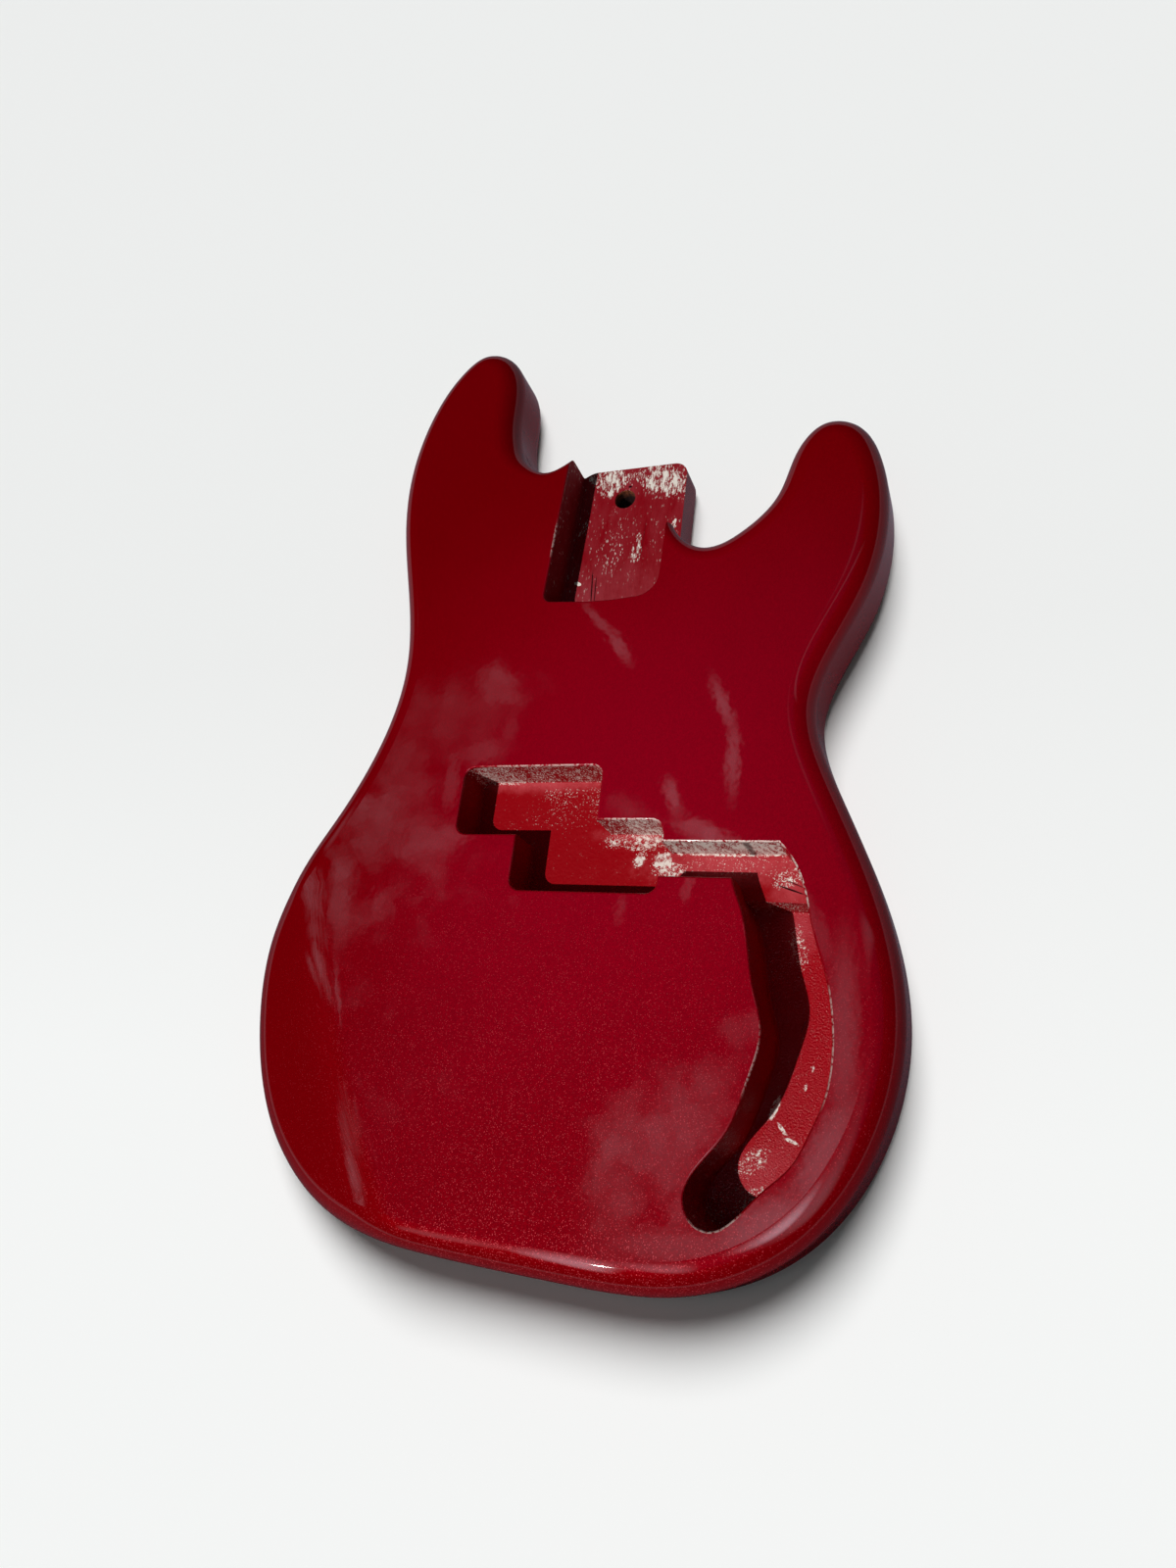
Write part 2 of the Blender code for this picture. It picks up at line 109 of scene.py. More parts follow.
# Routs in the face
POCKET_DEPTH = 22.0 * MM
POCKET_BASS_X = -32.6 * MM
POCKET_TREBLE_X = 31.5 * MM
POCKET_BASS_TAPER = 0.041
POCKET_TREBLE_TAPER = 0.020
POCKET_CORNER_Y = 1.0 * MM
POCKET_END_BOW = 1.5 * MM
POCKET_BOW_RADIUS = 80.0 * MM
POCKET_CORNER_BASS_RADIUS = 5.0 * MM
POCKET_CORNER_TREBLE_RADIUS = 13.0 * MM
TREBLE_LIP_Y = 39.5 * MM
TREBLE_LIP_SLANT = 4.0 * MM
NECK_HOLE = (-1.7 * MM, 76.1 * MM)
NECK_HOLE_RADIUS = 6.0 * MM
PICKUP_LENGTH = 75.8 * MM
PICKUP_WIDTH = 36.5 * MM
PICKUP_DEPTH = 22.5 * MM
ROUT_CORNER_RADIUS = 6.35 * MM
BASS_PICKUP = (-23.4 * MM, -110.2 * MM)
TREBLE_PICKUP = (10.1 * MM, -138.2 * MM)
CHANNEL_TOP_Y = -130.5 * MM
CHANNEL_WIDTH = 17.6 * MM
CHANNEL_DEPTH = 18.9 * MM
CHANNEL_OVERLAP = 15.0 * MM
CONTROL_DEPTH = 36.0 * MM
CONTROL_STEP = 22.5 * MM
CONTROL_OUTLINE_MM = (
    (81, -130.5), (81.5, -147), (87, -162), (95, -197), (99.5, -214), (96, -233), (86.5, -258.5),
    (77, -271), (72, -283), (76.5, -293), (85, -295.5), (93, -291), (105, -278), (116, -267),
    (122.5, -254), (127, -243), (129.5, -232), (130, -212), (126, -189), (119.5, -169),
    (114, -148.5), (108.5, -137.5), (102.5, -130.5),
)

# Fineness of the lacquer's mesh
FINE_STEP = 1.0 * MM
LONG_STEP = 3.0 * MM
TURN_STEP = 0.07
TURN_WINDOW = 6
SLIGHTEST_BEND = 1e-3
EDGE_STEPS = 10
CAP_GRID = 6.0 * MM
CAP_CLEARANCE = 2.6 * MM
SAME_POINT = 1e-7
LINING_COARSENESS = 3
ROUT_STEP = 2.0 * MM
ARC_TURN = math.radians(9)
HOLE_SIDES = 64
FLOOR_SIDES = 96
FLARE_STEPS = 4
FILLET_STEPS = 3
FILM_GAP_SHARE = 0.42
CUT_OVERRUN = 20.0 * MM
HOLE_CUT_FROM_FLOOR = (-2.0 * MM, 5.0 * MM)
SHARP_ANGLE = math.radians(38)

# Pattern sizes in millimetres. Real metal grain is under 0.1 mm, metal flakes are under 0.2 mm and the
# grit of dry overspray is under 0.3 mm; all three are drawn about 0.5 mm wide, so that they show. The
# others have their real size, and the fleece of the clouds is measured where the face mirrors it.
GRAIN_MM = 0.6
FLAKE_GAP_MM = 0.6
FLAKE_MM = 0.55
PEEL_MM = 5.0
CRUMB_MM = 1.5
GRIT_MM = 0.45
DRIFT_MM = 9.0
FLAKING_MM = 2.4
STREAK_MM = 1.4
FLEECE_MM = 24.0

# Heights of the reliefs in metres
PEEL_HEIGHT = 0.2 * MM
DUST_HEIGHT = 0.8 * MM
STREAK_HEIGHT = 0.3 * MM

# How far the metal grains tip, and the tint of the metal at grazing angles
GRAIN_TILT = 0.16
RED_EDGE_TINT = (0.35, 0.0, 0.02, 1.0)

# Long enough, in millimetres, for a patch to reach through the whole body
THROUGH_MM = 1e6

# The way that the spray went, in plan: walls that face the same way were turned from it and stay paler
SPRAY_DIRECTION = (0.2, -0.98, 0.0)

# Heights in the pocket's hole between which the bare wood turns from painted shade at its bottom to its own
# colour, in millimetres
HOLE_SHADE_MM = (16.5, 23.0)

# Floor, which turns from its near to its far colour along y, and the lamps: the way that each one
# shines, how wide it looks and its tint
FLOOR_RADIUS = 6.0
FLOOR_TURN_MM = (-250.0, 0.0)
SUN_DIRECTION = (0.38, 0.43, -1.0)
SUN_ANGLE = math.radians(0.6)
SUN_TINT = (1.0, 0.98, 0.95)
FLOOR_LIGHT_DIRECTION = (-0.06, -0.8, -1.25)
FLOOR_LIGHT_ANGLE = math.radians(33)
FLOOR_LIGHT_TINT = (1.0, 1.0, 1.0)

# Camera, solved from the outline and the rims of the routs
CAMERA_LENS = 25.465
CAMERA_SENSOR = 36.0
CAMERA_CLIP = 0.01
CAMERA_PLACE = (0.205077, -0.280899, 0.511512)
CAMERA_RIGHT = (0.92977569, 0.12074446, -0.34776133)
CAMERA_DOWN = (-0.01080477, -0.93532083, -0.3536357)
CAMERA_FORWARD = (-0.36796797, 0.33255935, -0.86833395)

# Bright places of the sky, where the flat face mirrors them to the camera: x, y, half length, half
# width in millimetres on the plane of the face, turn in degrees, and strength
SKY_CLOUDS = (
    (-48, -48, 16, 9, -20, 0.60), (-72, -62, 32, 22, 10, 0.28), (-40, -72, 14, 4, 85, 0.35),
    (-52, -84, 15, 6, 12, 0.45), (-105, -122, 20, 18, 0, 0.85), (-76, -132, 22, 15, -12, 0.60),
    (-97, -100, 28, 17, 100, 0.40), (-68, -104, 18, 4, 90, 0.45), (-121, -160, 28, 9, 102, 0.70),
    (-117, -208, 15, 5, 95, 0.70), (60, -262, 32, 20, 40, 0.90), (80, -238, 14, 10, 40, 0.70),
    (48, -290, 14, 11, 60, 0.80), (92, -214, 9, 7, 30, 0.45), (52, -113, 10, 4, 110, 1.20),
    (64, -125, 15, 4, -18, 2.00), (28, -115, 10, 6, 0, 0.40), (62, -153, 7, 2.5, 80, 0.70),
    (31, -163, 7, 2.5, 80, 0.50), (-345, -168, 205, 16, 0, 0.85), (-300, -193, 160, 9, 3, 0.60),
    (-255, -215, 110, 12, 0, 1.00), (-430, -235, 140, 8, 0, 0.70), (-290, -350, 170, 20, 22, 0.45),
    (-430, -440, 150, 22, 25, 1.00), (-340, -20, 210, 14, -27, 0.60),
)
SKY_GLOWS = (
    (2, -13, 14, 2.2, -48, 0.80), (14, -27, 12, 3.0, -55, 0.95), (71, -62, 14, 2.8, -66, 1.20),
    (78, -90, 18, 3.0, -87, 1.10), (120, -168, 22, 4, -62, 0.45), (134, -215, 38, 6, -88, 0.90),
    (128, -262, 26, 7, 66, 1.50), (108, -290, 26, 9, 30, 1.80), (76, -302, 32, 7, 5, 0.90),
    (72, -288, 12, 5, 70, 0.60), (235, -425, 120, 48, -50, 6.00), (420, -540, 300, 105, -45, 1.20),
    (126, -279, 14, 3.5, 60, 4.00), (345, -105, 180, 16, 22, 0.50), (-5, -560, 170, 30, 80, 4.80),
    (-95, -570, 140, 35, 60, 1.00), (92, -480, 140, 28, -75, 1.80), (230, -8, 60, 24, 72, 0.30),
    (172, -352, 52, 38, -45, 1.30),
)


def colour(code):
    """Linear RGBA of an sRGB hex colour."""
    parts = [int(code[i:i + 2], 16) / 255.0 for i in (1, 3, 5)]
    return tuple(p / 12.92 if p <= 0.04045 else ((p + 0.055) / 1.055) ** 2.4 for p in parts) + (1.0,)


# Insides of the routs: red is the full coat and rose the thin one. far_wall, sprinkle and mist are the
# shares that stay pale on the walls away from the gun, as specks and as haze. Haze, chips and cracks are
# patches as above, and grain_scale draws the patterns out along the way that the paint ran.
OVERSPRAY = {
    "red_overspray_in_routs": {
        "red": colour("#92000C"), "rose": colour("#C8525A"),
        "grain_scale": (1.0, 1.0, 0.45), "far_wall": 0.32,
        "sprinkle": 0.03, "mist": 0.015, "relief_mm": 1.6, "relief": 0.35, "roughness": 0.5, "gloss": 0.0,
        "haze": ((-26, -93, 38, 5, 0, 0.65), (30, -121, 22, 4, 0, 0.5), (78, -136, 42, 9, 0, 0.62),
                 (106, -148, 10, 10, 20, 0.5)),
        "chips": ((30, -133, 5, 3, 65, 0.65), (42, -135, 7, 6, 70, 0.69), (28, -124.5, 18, 4.5, 0, 0.60),
                  (49, -140, 7, 5, 0, 0.61), (34, -119.5, 17, 1.6, 0, 0.65), (75, -130.5, 36, 2.0, 0, 0.69),
                  (104, -142, 8, 5, 20, 0.47), (-48, -92, 12, 2, 0, 0.53), (80, -137, 34, 5, 0, 0.18),
                  (-5, -101, 24, 6, 0, 0.22), (-12, -112, 24, 6, 0, 0.12)),
        "cracks": ((105, -147.5, 6.5, 0.45, -18, 1.0), (107, -144.8, 4.5, 0.35, -22, 0.8),
                   (87, -130.5, 2.2, 1.0, 0, 0.7)),
    },
    "red_runs_in_control_cavity": {
        "red": colour("#9A0010"), "rose": colour("#BC4C56"),
        "grain_scale": (1.0, 1.0, 0.6), "far_wall": 0.2,
        "sprinkle": 0.03, "mist": 0.0, "relief_mm": 0.9, "relief": 0.55, "roughness": 0.45, "gloss": 0.12,
        "haze": ((108, -160, 9, 14, 0, 0.5), (97, -272, 20, 12, 35, 0.3)),
        "chips": ((100.5, -242, 6, 1.8, 70, 0.80), (104, -250.5, 4, 0.9, -50, 0.80),
                  (108.5, -255.3, 3.4, 0.9, -18, 0.77), (92, -266, 9, 5, 40, 0.47),
                  (107, -170, 11, 4, -75, 0.47), (116, -224, 2.2, 0.9, 75, 0.69),
                  (113.5, -232, 1.8, 0.8, 80, 0.65), (93, -281, 9, 4, 35, 0.45),
                  # (84, -285) lays pale specks on the shadowed far end of the control's floor: a painted
                  # reflection of the sky in its orange peel
                  (84, -285, 14, 9, 40, 0.2), (89, -160, 5, 8, 0, 0.14)),
        "cracks": ((111, -206, 3, 0.3, 70, 0.5),),
    },
    "red_overspray_in_pocket": {
        "red": colour("#7E000E"), "rose": colour("#A84C56"),
        "grain_scale": (1.0, 0.35, 0.5), "far_wall": 0.2,
        "sprinkle": 0.09, "mist": 0.2, "relief_mm": 1.6, "relief": 0.6, "roughness": 0.6, "gloss": 0.0,
        "haze": ((0, 86, 34, 10, 0, 0.08), (-4, 10, 40, 22, 0, 0.25)),
        "chips": ((20, 85, 15, 10, -25, 0.66), (12, 92, 12, 5, 10, 0.58), (-11, 88, 10, 10, 60, 0.66),
                  (-20, 92, 6, 5, 0, 0.61), (9, 44, 11, 3, 85, 0.57), (-23, 24, 2.2, 1.2, -30, 0.92),
                  (28, 55, 6, 1.5, 75, 0.77), (-24, 60, 8, 2, 60, 0.45), (-6, 44, 16, 8, 80, 0.13)),
        "cracks": ((-14.6, 21, 11, 0.4, 94, 1.0), (-12.4, 19, 9, 0.35, 92, 0.9), (0.5, 84, 1.0, 0.8, 0, 1.0),
                   (12, 50, 12, 0.25, 88, 0.5)),
    },
}

# Where the face is painted brighter than towards the horns and rims: a painted sheen that stands in for the
# sky's haze on the face, as such patches
PAINTED_SHEEN = ((30, -112, 158, 138, 92, 1.0),)

# Where the flakes are painted pale, densest in the lower middle where the face mirrors the sun: painted
# glints, as such patches
PAINTED_GLINTS = ((10, -265, 165, 120, 0, 0.62), (20, -325, 170, 50, 3, 1.0))

# Where the pale primer shows along the rims, as such patches
WORN_RIMS = (
    (129, -218, 6, 26, 0, 0.34), (84, -294, 16, 5, 15, 0.4), (60, -131, 50, 4, 0, 0.7),
    (-12, -92, 34, 5, 0, 0.4), (34, -119.5, 16, 4, 0, 0.6), (43, -120, 4, 30, 0, 0.4),
    (113, -148, 6, 12, 25, 0.6), (-32, 40, 4, 10, 0, 0.4), (97, -228, 4, 16, 0, 0.3),
)


def smoothstep(t):
    """Ease from 0 to 1 with flat ends."""
    t = np.clip(t, 0.0, 1.0)
    return t * t * (3.0 - 2.0 * t)


def soft_ramp(distance, blend):
    """Zero before -blend, the distance itself after +blend, and a parabola between them."""
    middle = (distance + blend) ** 2 / (4.0 * blend)
    return np.where(distance < -blend, 0.0, np.where(distance > blend, distance, middle))


def spline(points, step, start_tangent, end_tangent):
    """Cubic spline through the points with given end directions, read about every step."""
    points = np.asarray(points, float)
    last = len(points) - 1
    lengths = np.hypot(*np.diff(points, axis=0).T)
    knots = np.concatenate(([0.0], np.cumsum(lengths)))
    matrix = np.zeros((last + 1, last + 1))
    right = np.zeros((last + 1, 2))
    matrix[0, 0] = matrix[last, last] = 1.0
    right[0], right[last] = start_tangent, end_tangent
    for i in range(1, last):
        before, after = lengths[i - 1], lengths[i]
        matrix[i, i - 1:i + 2] = after, 2.0 * (before + after), before
        right[i] = 3.0 * (after * (points[i] - points[i - 1]) / before
                          + before * (points[i + 1] - points[i]) / after)
    slopes = np.linalg.solve(matrix, right)
    travel = np.linspace(0.0, knots[-1], max(2, int(round(knots[-1] / step)) + 1))
    span = np.clip(np.searchsorted(knots, travel, side="right") - 1, 0, last - 1)
    length = lengths[span][:, None]
    t = ((travel - knots[span]) / lengths[span])[:, None]
    return (points[span] * (2 * t ** 3 - 3 * t ** 2 + 1) + points[span + 1] * (3 * t ** 2 - 2 * t ** 3)
            + slopes[span] * length * (t ** 3 - 2 * t ** 2 + t)
            + slopes[span + 1] * length * (t ** 3 - t ** 2))


def arc(centre, radius, start, end):
    """Points of an arc, about one for each ARC_TURN."""
    count = max(2, int(math.ceil(abs(end - start) / ARC_TURN)) + 1)
    angles = np.linspace(start, end, count)
    return np.column_stack((centre[0] + radius * np.cos(angles), centre[1] + radius * np.sin(angles)))


def circle(centre, radius, sides):
    """Plan points of a circle, counterclockwise."""
    return [(centre[0] + radius * math.cos(a), centre[1] + radius * math.sin(a))
            for a in np.linspace(0.0, 2.0 * math.pi, sides + 1)[:-1]]


def rounded_polygon(corners):
    """Closed outline through (x, y, radius) corners, each rounded with its own radius."""
    points = []
    for i, (x, y, radius) in enumerate(corners):
        here = np.array((x, y))
        if radius == 0.0:
            points.append(here)
            continue
        before = np.array(corners[i - 1][:2]) - here
        after = np.array(corners[(i + 1) % len(corners)][:2]) - here
        before /= np.linalg.norm(before)
        after /= np.linalg.norm(after)
        half = math.acos(float(np.clip(before @ after, -1.0, 1.0))) / 2.0
        middle = (before + after) / np.linalg.norm(before + after)
        centre = here + middle * radius / math.sin(half)
        first = here + before * radius / math.tan(half) - centre
        final = here + after * radius / math.tan(half) - centre
        start = math.atan2(first[1], first[0])
        turn = math.atan2(final[1], final[0]) - start
        turn = (turn + math.pi) % (2.0 * math.pi) - math.pi
        points.extend(arc(centre, radius, start, start + turn))
    return np.array(points)


def grown(outline, distance):
    """Closed counterclockwise outline moved outwards by the distance, with mitred corners."""
    ahead = np.roll(outline, -1, axis=0) - outline
    ahead /= np.linalg.norm(ahead, axis=1)[:, None]
    normal = np.column_stack((ahead[:, 1], -ahead[:, 0]))
    before = np.roll(normal, 1, axis=0)
    return outline + distance * (normal + before) / (1.0 + np.sum(normal * before, axis=1))[:, None]


def turn_radius(points):
    """Radius of the outward turn round each point of a closed outline, the tightest of its neighbours."""
    ahead = np.roll(points, -1, axis=0) - points
    behind = np.roll(ahead, 1, axis=0)
    cross = behind[:, 0] * ahead[:, 1] - behind[:, 1] * ahead[:, 0]
    turn = np.arctan2(cross, np.sum(behind * ahead, axis=1))
    gap = (np.hypot(*ahead.T) + np.hypot(*behind.T)) / 2.0
    bend = np.maximum(turn / gap, SLIGHTEST_BEND)
    near = range(-TURN_WINDOW, TURN_WINDOW + 1)
    widest = np.max([np.roll(bend, k) for k in near], axis=0)
    return 1.0 / np.mean([np.roll(widest, k) for k in near], axis=0)


def thin_out(points, direction, coarseness):
    """Which points of a closed outline to keep: LONG_STEP apart where straight, closer where it turns."""
    gap = np.linalg.norm(np.roll(points, -1, axis=0) - points, axis=1)
    after = np.roll(direction, -1, axis=0)
    turn = np.abs(np.arcsin(np.clip(direction[:, 0] * after[:, 1] - direction[:, 1] * after[:, 0], -1, 1)))
    spread = turn + np.roll(turn, 1)
    weight = np.maximum(gap / LONG_STEP, 0.5 * spread / TURN_STEP) / coarseness
    total = np.concatenate(([0.0], np.cumsum(weight)))
    count = int(math.ceil(total[-1]))
    wanted = np.arange(count) * total[-1] / count
    return np.unique(np.searchsorted(total, wanted, side="right") - 1)


def edge_radius(x, y):
    """Rounding of the rim: small round the heel and its lips, full everywhere else."""
    away = (np.hypot(x, y - HEEL_CENTRE_Y) - HEEL_EDGE_REACH) / HEEL_EDGE_FADE
    return HEEL_EDGE_RADIUS + (EDGE_RADIUS - HEEL_EDGE_RADIUS) * smoothstep(away)


def body_outline(coarseness):
    """Closed plan outline, counterclockwise from the face, its outward directions and rim roundings."""
    points = np.vstack(((HEEL_BASS_CURVE_X, HEEL_END_Y), np.array(OUTLINE_MM) * MM,
                        (HEEL_HALF_WIDTH, HEEL_SIDE_START_Y)))
    curve = spline(points, FINE_STEP, (-1.0, 0.0), (0.0, 1.0))
    corner_x = HEEL_HALF_WIDTH - HEEL_CORNER_RADIUS
    corner_y = HEEL_END_Y - HEEL_CORNER_RADIUS
    side = [(HEEL_HALF_WIDTH, y) for y in np.arange(HEEL_SIDE_START_Y + FINE_STEP, corner_y, FINE_STEP)]
    angles = np.linspace(0.0, math.pi / 2.0, HEEL_CORNER_POINTS)
    corner = [(corner_x + HEEL_CORNER_RADIUS * math.cos(a), corner_y + HEEL_CORNER_RADIUS * math.sin(a))
              for a in angles]
    end = [(x, HEEL_END_Y) for x in np.arange(corner_x - FINE_STEP, HEEL_BASS_CURVE_X, -FINE_STEP)]
    points = np.vstack((curve, side, corner, end))
    direction = np.roll(points, -1, axis=0) - np.roll(points, 1, axis=0)
    direction /= np.linalg.norm(direction, axis=1)[:, None]
    outward = np.column_stack((direction[:, 1], -direction[:, 0]))
    radius = np.minimum(edge_radius(*points.T), EDGE_SHARE_OF_TURN * turn_radius(points))
    keep = thin_out(points, direction, coarseness)
    return points[keep], outward[keep], radius[keep]


def arm_run(x, y):
    """Distance past the crease of the forearm slope."""
    centre_x = ARM_CREASE[0] + ARM_CREASE_RADIUS * math.cos(ARM_CREASE_ANGLE)
    centre_y = ARM_CREASE[1] + ARM_CREASE_RADIUS * math.sin(ARM_CREASE_ANGLE)
    return np.hypot(x - centre_x, y - centre_y) - ARM_CREASE_RADIUS


def arm_fade(y):
    """1 on the lower bout, 0 from the waist upwards."""
    return smoothstep((ARM_FADE_START_Y - y) / ARM_FADE_LENGTH)


def belly_run(x, y):
    """Distance inside the rim of the belly scoop."""
    return BELLY_RADIUS - np.hypot(x - BELLY_CENTRE[0], y - BELLY_CENTRE[1])


def new_object(name, data):
    """Object in the scene for a mesh, lamp or camera."""
    obj = bpy.data.objects.new(name, data)
    bpy.context.scene.collection.objects.link(obj)
    return obj


def mesh_object(name, vertices, faces, material_of=None):
    """Object from plain vertices and faces, with its normals turned outwards."""
    mesh = bpy.data.meshes.new(name)
    mesh.from_pydata([tuple(map(float, v)) for v in vertices], [], faces)
    if material_of:
        mesh.polygons.foreach_set("material_index", material_of)
    work = bmesh.new()
    work.from_mesh(mesh)
    bmesh.ops.recalc_face_normals(work, faces=work.faces)
    work.to_mesh(mesh)
    work.free()
    return new_object(name, mesh)


def band(first, second, count):
    """Quads between two closed rows of count vertices, which start at the given numbers."""
    return [(first + i, first + (i + 1) % count, second + (i + 1) % count, second + i) for i in range(count)]


def inside(ring, x, y):
    """True where the points lie inside the closed ring."""
    ahead = np.roll(ring, -1, axis=0)
    crosses = (ring[:, 1] > y[:, None]) != (ahead[:, 1] > y[:, None])
    with np.errstate(divide="ignore", invalid="ignore"):
        share = (y[:, None] - ring[:, 1]) / (ahead[:, 1] - ring[:, 1])
        at = ring[:, 0] + share * (ahead[:, 0] - ring[:, 0])
    return np.sum(crosses & (x[:, None] < at), axis=1) % 2 == 1


def cap(ring, height, grid):
    """Vertices to add to the ring, at their height, and triangles that fill it over an even grid."""
    low, high = ring.min(axis=0), ring.max(axis=0)
    x, y = (g.ravel() for g in np.meshgrid(np.arange(low[0], high[0], grid),
                                           np.arange(low[1], high[1], grid)))
    kept = inside(ring, x, y)
    x, y = x[kept], y[kept]
    clear = [np.min(np.hypot(ring[:, 0] - a, ring[:, 1] - b)) > CAP_CLEARANCE for a, b in zip(x, y)]
    points = [tuple(p) for p in ring] + list(zip(x[clear], y[clear]))
    result = delaunay_2d_cdt(points, [], [list(range(len(ring)))], 1, SAME_POINT)
    found, triangles, origins = result[0], result[2], result[3]
    index = {}
    extra = []
    for i, source in enumerate(origins):
        if source and source[0] < len(ring):
            index[i] = source[0]
        else:
            index[i] = len(ring) + len(extra)
            extra.append((found[i][0], found[i][1], float(height(found[i][0], found[i][1]))))
    return extra, [tuple(index[i] for i in triangle) for triangle in triangles]


def body_form(name, coat, coarseness):
    """The body's form before its routs, grown outwards all round by the coat's thickness."""
    outline, outward, radius = body_outline(coarseness)
    x, y = outline.T
    spare = FACE_Z - 2.0 * EDGE_RADIUS
    arm_slope = (spare - ARM_EDGE_FLAT) / np.max(arm_run(x, y) * arm_fade(y))
    belly_slope = (spare - BELLY_EDGE_FLAT) / np.max(belly_run(x, y))

    def face_height(x, y):
        return FACE_Z - arm_slope * soft_ramp(arm_run(x, y), ARM_BLEND) * arm_fade(y)

    def back_height(x, y):
        return belly_slope * soft_ramp(belly_run(x, y), BELLY_BLEND)

    flat_border = outline - outward * (radius * FLAT_BORDER)[:, None]
    rings = [np.column_stack((flat_border, face_height(*flat_border.T) + coat))]
    for height, side, start, end in ((face_height, 1.0, math.pi / 2.0, 0.0),
                                     (back_height, -1.0, 0.0, math.pi / 2.0)):
        for angle in np.linspace(start, end, EDGE_STEPS // coarseness + 1):
            place = outline - outward * (radius * (1.0 - math.cos(angle)))[:, None]
            z = height(*place.T) - side * radius * (1.0 - math.sin(angle)) + side * coat * math.sin(angle)
            rings.append(np.column_stack((place + outward * coat * math.cos(angle), z)))
    rings.append(np.column_stack((flat_border, back_height(*flat_border.T) - coat)))
    count = len(outline)
    vertices = [tuple(point) for ring in rings for point in ring]
    faces = [quad for row in range(len(rings) - 1) for quad in band(row * count, (row + 1) * count, count)]
    for row, height, side in ((0, face_height, 1.0), (len(rings) - 1, back_height, -1.0)):
        extra, triangles = cap(rings[row][:, :2], lambda x, y: height(x, y) + side * coat,
                               CAP_GRID * coarseness)
        start = len(vertices)
        vertices += extra
        faces += [tuple(row * count + i if i < count else start + i - count for i in t) for t in triangles]
    return mesh_object(name, vertices, faces)


def rout_rings(outline, coat, flare, fillet, floor):
    """Rings of a rout's cutter from its floor up: a small fillet, a straight wall and a rounded rim."""
    rings = []
    for angle in np.linspace(0.0, math.pi / 2.0, FILLET_STEPS + 1 if fillet else 1):
        inset = fillet * (1.0 - math.sin(angle))
        rings.append((grown(outline, -coat - inset), floor + coat + fillet * (1.0 - math.cos(angle))))
    top = FACE_Z + coat
    if flare:
        for angle in np.linspace(0.0, math.pi / 2.0, FLARE_STEPS + 1):
            out = flare * (1.0 - math.cos(angle))
            rings.append((grown(outline, out - coat), top - flare * (1.0 - math.sin(angle))))
    rings.append((grown(outline, flare - coat), top + CUT_OVERRUN))
    return rings


def cutter(name, outline, floor, coat, flare, fillet, inner_material):
    """Closed cutter for a rout; its rim carries the outside lacquer and its walls the finish inside."""
    rings = rout_rings(outline, coat, flare, fillet, floor)
    count = len(outline)
    vertices = [(x, y, z) for ring, z in rings for x, y in ring]
    faces = [tuple(range(count)), tuple(range((len(rings) - 1) * count, len(rings) * count))]
    materials = [inner_material, 0]
    wall_rows = FILLET_STEPS + 1 if fillet else 1
    for row in range(len(rings) - 1):
        faces += band(row * count, (row + 1) * count, count)
        materials += [inner_material if row < wall_rows else 1] * count
    return mesh_object(name, vertices, faces, materials)


def neck_pocket_outline():
    """Slot for the neck heel, open past the end of the heel and beside the treble lip."""
    open_end = HEEL_END_Y + CUT_OVERRUN
    open_side = HEEL_HALF_WIDTH + CUT_OVERRUN
    bow_x = (POCKET_BASS_X + POCKET_TREBLE_X) / 2.0
    lip_x = POCKET_TREBLE_X + POCKET_TREBLE_TAPER * TREBLE_LIP_Y
    return rounded_polygon((
        (POCKET_BASS_X, POCKET_CORNER_Y, POCKET_CORNER_BASS_RADIUS),
        (bow_x, -POCKET_END_BOW, POCKET_BOW_RADIUS),
        (POCKET_TREBLE_X, POCKET_CORNER_Y, POCKET_CORNER_TREBLE_RADIUS),
        (lip_x, TREBLE_LIP_Y, 0.0),
        (HEEL_HALF_WIDTH, TREBLE_LIP_Y + TREBLE_LIP_SLANT, 0.0),
        (open_side, TREBLE_LIP_Y + TREBLE_LIP_SLANT, 0.0),
        (open_side, open_end, 0.0),
        (POCKET_BASS_X + POCKET_BASS_TAPER * open_end, open_end, 0.0),
    ))


def pickup_outline(centre):
    """Rectangular rout with a cutter's corner radius."""
    x, y = centre
    half_length, half_width = PICKUP_LENGTH / 2.0, PICKUP_WIDTH / 2.0
    corners = ((-1, -1), (1, -1), (1, 1), (-1, 1))
    return rounded_polygon([(x + sx * half_length, y + sy * half_width, ROUT_CORNER_RADIUS)
                            for sx, sy in corners])


def control_outline(step_y):
    """Wiring channel and control cavity in one outline, and its two points where the floor steps down."""
    low = CHANNEL_TOP_Y - CHANNEL_WIDTH
    start = TREBLE_PICKUP[0] + PICKUP_LENGTH / 2.0 - CHANNEL_OVERLAP
    curve = spline(np.array(CONTROL_OUTLINE_MM) * MM, ROUT_STEP, (0.0, -1.0), (-0.7, 0.7))
    first = int(np.argmax(curve[:, 1] < low))
    share = (low - curve[first - 1, 1]) / (curve[first, 1] - curve[first - 1, 1])
    meet = curve[first - 1] + share * (curve[first] - curve[first - 1])
    outline = [(start, CHANNEL_TOP_Y), (start, low), tuple(meet)]
    steps = []
    for here, after in zip(curve[first:-1], curve[first + 1:]):
        outline.append(tuple(here))
        if (here[1] <= step_y) != (after[1] <= step_y):
            share = (step_y - here[1]) / (after[1] - here[1])
            steps.append(len(outline))
            outline.append(tuple(here + share * (after - here)))
    outline.append(tuple(curve[-1]))
    return np.array(outline), steps


